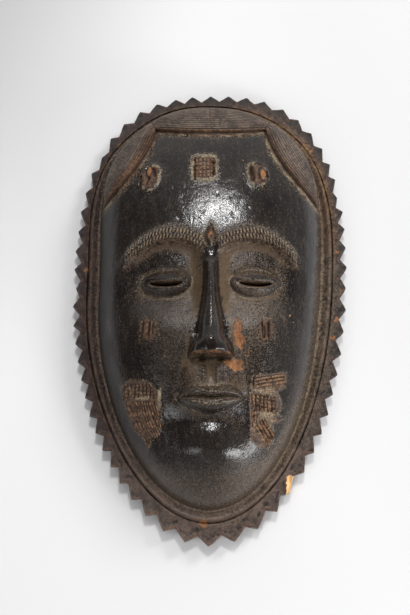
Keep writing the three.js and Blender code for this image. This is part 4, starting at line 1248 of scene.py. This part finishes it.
    # rubbed tops between the cuts
    tops = n.ramp(n.math("ADD", ridge, n.math("MULTIPLY", patchy, 0.45)), 0.30, 1.05)
    tops = n.math("MULTIPLY", tops, n.ramp(ridge, 0.05, 0.4))
    colour = n.mix(n.math("MULTIPLY", tops, 0.80), colour, n.mix(n.ramp(speck, 0.3, 0.7), srgb(106, 70, 47), srgb(172, 132, 96)))
    worn = n.ramp(n.math("ADD", wear, n.math("MULTIPLY", patchy, 0.5)), 0.42, 0.95)
    worn = n.math("MULTIPLY", worn, n.ramp(wear, 0.03, 0.3))
    worn = n.math("MULTIPLY", worn, n.mixf(n.ramp(n.math("ADD", speck, centred(grit, 0.6)), 0.34, 0.56), 0.45, 1.0))
    colour = n.mix(worn, colour, n.mix(n.ramp(grain, 0.3, 0.7), srgb(126, 76, 42), srgb(168, 116, 70)))
    worn_edge = n.math("MULTIPLY", n.ramp(fine, 0.30, 0.05), n.ramp(speck, 0.40, 0.60))
    colour = n.mix(n.math("MULTIPLY", worn_edge, 0.40), colour, srgb(112, 86, 62))
    # painted shade: the deepest hollows and cuts darkened by their cavity, less at the top outside the hair
    colour = n.mix(n.math("MULTIPLY", n.ramp(fine, 0.60, 0.92), n.mixf(n.math("MULTIPLY", upper, n.math("SUBTRACT", 1.0, hair)), 0.80, 0.50)), colour, srgb(18, 12, 10))
    lodged = n.ramp(n.math("ADD", packed, n.math("MULTIPLY", dots, 0.5)), 0.25, 1.0)
    lodged = n.math("MULTIPLY", lodged, n.ramp(packed, 0.03, 0.4))
    colour = n.mix(n.math("MULTIPLY", lodged, 0.85), colour, n.mix(n.ramp(speck, 0.3, 0.7), srgb(66, 48, 34), srgb(136, 108, 72)))
    # raw wood: the hollow side and fresh splits
    hollow = n.mix(n.ramp(grain, 0.32, 0.70), srgb(66, 48, 36), srgb(112, 86, 64))
    hollow = n.mix(n.math("MULTIPLY", n.ramp(cloud, 0.45, 0.75), 0.55), hollow, srgb(44, 33, 27))
    # painted shade: the recesses of the hollow side darkened by their cavity
    hollow = n.mix(n.math("MULTIPLY", n.ramp(fine, 0.55, 0.85), 0.5), hollow, srgb(36, 27, 22))
    colour = n.mix(back, colour, hollow)
    fresh = n.ramp(n.math("ADD", raw, n.math("MULTIPLY", patchy, 0.3)), 0.35, 0.7)
    colour = n.mix(fresh, colour, n.mix(n.ramp(grain, 0.3, 0.65), srgb(206, 142, 78), srgb(250, 216, 158)))

    rough = n.math("ADD", n.mixf(n.ramp(cloud, 0.35, 0.7), 0.13, 0.21), n.math("MULTIPLY", lower, 0.05))
    rough = n.math("ADD", rough, centred(speck, 0.22))
    rough = n.mixf(n.math("MULTIPLY", thin, 0.7), rough, n.mixf(lower, 0.40, 0.30))
    rough = n.mixf(matt_wall_painted_shade, rough, 0.58)
    rough = n.mixf(border, rough, n.mixf(lower, 0.55, 0.44))
    rough = n.mixf(hair, rough, 0.66)
    rough = n.mixf(n.math("MULTIPLY", carved, 0.8), rough, 0.55)
    rough = n.mixf(n.math("MULTIPLY", dusty, 0.8), rough, 0.85)
    rough = n.mixf(worn, rough, 0.6)
    rough = n.mixf(back, rough, 0.82)
    rough = n.mixf(fresh, rough, 0.8)

    # small relief: pitted skin, grain, brushed film
    skin = n.math("ADD", n.math("MULTIPLY", speck, 0.42), n.math("ADD", n.math("MULTIPLY", grit, 0.28), n.math("MULTIPLY", fibre, 0.26)))
    skin = n.math("ADD", skin, n.math("MULTIPLY", grain, n.mixf(back, 0.30, 1.1)))
    matt = n.math("MAXIMUM", n.math("MAXIMUM", border, hair), n.math("MAXIMUM", back, thin))
    skin = n.math("MULTIPLY", skin, n.mixf(n.math("MAXIMUM", matt, dusty), 0.50, 1.0))
    bump = n.new("ShaderNodeBump")
    bump.inputs["Strength"].default_value = 0.50
    bump.inputs["Distance"].default_value = 0.0007
    n.set(bump.inputs["Height"], skin)

    shader = n.new("ShaderNodeBsdfPrincipled")
    n.set(shader.inputs["Base Color"], colour)
    n.set(shader.inputs["Roughness"], n.math("MAXIMUM", rough, 0.12))
    shader.inputs["Specular IOR Level"].default_value = 0.5
    shader.inputs["IOR"].default_value = 1.5
    n.set(shader.inputs["Normal"], bump.outputs["Normal"])
    out = n.new("ShaderNodeOutputMaterial")
    n.tree.links.new(shader.outputs[0], out.inputs["Surface"])
    return n.mat


me.materials.clear()
me.materials.append(wood_material())
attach(mask, "root")
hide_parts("mask")


# ======================================================================= studio
def floor_material():
    n = Nodes("studio_floor")
    where = n.new("ShaderNodeTexCoord").outputs["Object"]
    tone = n.noise(where, 3.0, 2.0, 0.5)
    grain = n.noise(where, 900.0, 2.0, 0.5)
    # painted shade: the floor is palest round the object and greyer away from it, like a lit table in a dim room, and
    # darker towards the top left and to the right
    far = n.new("ShaderNodeVectorMath")
    far.operation = "LENGTH"
    n.set(far.inputs[0], where)
    near = n.mix(tone, (0.79, 0.79, 0.805, 1.0), (0.82, 0.82, 0.83, 1.0))
    side = n.new("ShaderNodeSeparateXYZ")
    n.set(side.inputs[0], where)
    # painted shade towards the top left
    corner = n.math("SUBTRACT", n.math("MULTIPLY", side.outputs["Y"], 0.6), side.outputs["X"])
    near = n.mix(n.ramp(corner, 0.11, 0.34), near, (0.49, 0.49, 0.497, 1.0))
    # painted shade towards the right
    right = n.math("ADD", side.outputs["X"], n.math("MULTIPLY", side.outputs["Y"], 0.4))
    near = n.mix(n.ramp(right, 0.02, 0.20), near, (0.735, 0.735, 0.745, 1.0))
    colour = n.mix(n.ramp(far.outputs["Value"], 0.30, 0.95), near, (0.40, 0.40, 0.41, 1.0))
    bump = n.new("ShaderNodeBump")
    bump.inputs["Strength"].default_value = 0.05
    bump.inputs["Distance"].default_value = 0.0002
    n.set(bump.inputs["Height"], grain)
    shader = n.new("ShaderNodeBsdfPrincipled")
    n.set(shader.inputs["Base Color"], colour)
    n.set(shader.inputs["Roughness"], n.mixf(grain, 0.85, 0.95))
    shader.inputs["Specular IOR Level"].default_value = 0.2
    n.set(shader.inputs["Normal"], bump.outputs["Normal"])
    out = n.new("ShaderNodeOutputMaterial")
    n.tree.links.new(shader.outputs[0], out.inputs["Surface"])
    return n.mat


FLOOR_HALF = 4.0
floor = bpy.data.objects.new("studio_floor", bpy.data.meshes.new("studio_floor"))
floor.data.from_pydata(
    [(-FLOOR_HALF, -FLOOR_HALF, 0), (FLOOR_HALF, -FLOOR_HALF, 0), (FLOOR_HALF, FLOOR_HALF, 0), (-FLOOR_HALF, FLOOR_HALF, 0)],
    [], [(0, 1, 2, 3)])
floor.data.materials.append(floor_material())
bpy.context.scene.collection.objects.link(floor)
floor.location.z = -0.0002

MIDDLE = Vector((0.0, 0.0, 0.03))


def softbox(name, direction, distance, size, power, size_y=None, colour=(1, 1, 1)):
    data = bpy.data.lights.new(name, "AREA")
    data.shape = "RECTANGLE"
    data.size = size
    data.size_y = size_y or size
    data.energy = power
    data.color = colour
    obj = bpy.data.objects.new(name, data)
    away = Vector(direction).normalized()
    obj.location = MIDDLE + away * distance
    obj.rotation_euler = away.to_track_quat("Z", "Y").to_euler()
    bpy.context.scene.collection.objects.link(obj)
    return obj


softbox("key", (0.05, 0.50, 1.0), 1.5, 0.14, 6.5, 0.14)
softbox("key_fill", (0.05, 0.50, 1.0), 1.5, 0.40, 2.0, 0.40).visible_glossy = False
softbox("low", (0.30, -0.55, 1.0), 1.5, 0.60, 1.2, 0.60).visible_glossy = False
softbox("window_right", (0.72, -0.55, 0.42), 1.3, 0.42, 5.0, 0.30)
softbox("window_left", (-0.58, -0.50, 0.64), 1.5, 0.34, 1.6, 0.34)
softbox("slanting", (0.95, 0.95, 0.95), 1.9, 0.5, 14.0, 0.5).visible_glossy = False
softbox("overhead", (-0.35, -0.25, 1.9), 2.2, 1.8, 7.5, 1.8).visible_glossy = False

# the room: dim overhead, brighter towards the far wall and a little to the right
world = bpy.data.worlds.new("studio") if bpy.context.scene.world is None else bpy.context.scene.world
bpy.context.scene.world = world
world.use_nodes = True
world.node_tree.nodes.clear()
w = world.node_tree
direction = w.nodes.new("ShaderNodeTexCoord")
axes = w.nodes.new("ShaderNodeSeparateXYZ")
w.links.new(direction.outputs["Generated"], axes.inputs[0])


def wall(axis, near, far, bright):
    level = w.nodes.new("ShaderNodeMapRange")
    level.interpolation_type = "SMOOTHSTEP"
    w.links.new(axes.outputs[axis], level.inputs["Value"])
    level.inputs["From Min"].default_value = near
    level.inputs["From Max"].default_value = far
    level.inputs["To Max"].default_value = bright
    return level.outputs["Result"]


both = w.nodes.new("ShaderNodeMath")
ends = w.nodes.new("ShaderNodeMath")
w.links.new(wall("Y", 0.30, 0.95, 0.80), ends.inputs[0])
w.links.new(wall("Y", -0.30, -0.90, 0.34), ends.inputs[1])
w.links.new(ends.outputs[0], both.inputs[0])
w.links.new(wall("X", 0.40, 0.95, 0.42), both.inputs[1])
level = w.nodes.new("ShaderNodeMath")
w.links.new(both.outputs[0], level.inputs[0])
level.inputs[1].default_value = 0.12
sky = w.nodes.new("ShaderNodeBackground")
sky.inputs["Color"].default_value = (1.0, 0.985, 0.97, 1.0)
w.links.new(level.outputs[0], sky.inputs["Strength"])
sky_out = w.nodes.new("ShaderNodeOutputWorld")
w.links.new(sky.outputs[0], sky_out.inputs["Surface"])

# camera at the photograph's angle, looking down on the lying mask
TILT = math.radians(12.0)
AIM = (Vector((-3.93, 4.725, 8.826)) - Vector(SPAN)) / 1000.0
BACK = Vector((0.0, -math.sin(TILT), math.cos(TILT)))
UP = Vector((0.0, math.cos(TILT), math.sin(TILT)))
camera_data = bpy.data.cameras.new("camera")
camera_data.lens = 90.35
camera_data.sensor_width = 36.0
camera_data.clip_start = 0.01
camera = bpy.data.objects.new("camera", camera_data)
camera.matrix_world = Matrix.Translation(AIM + BACK * 1.07877) @ Matrix((Vector((1, 0, 0)), UP, BACK)).transposed().to_4x4()
bpy.context.scene.collection.objects.link(camera)
bpy.context.scene.camera = camera
bpy.context.scene.view_settings.view_transform = "Standard"
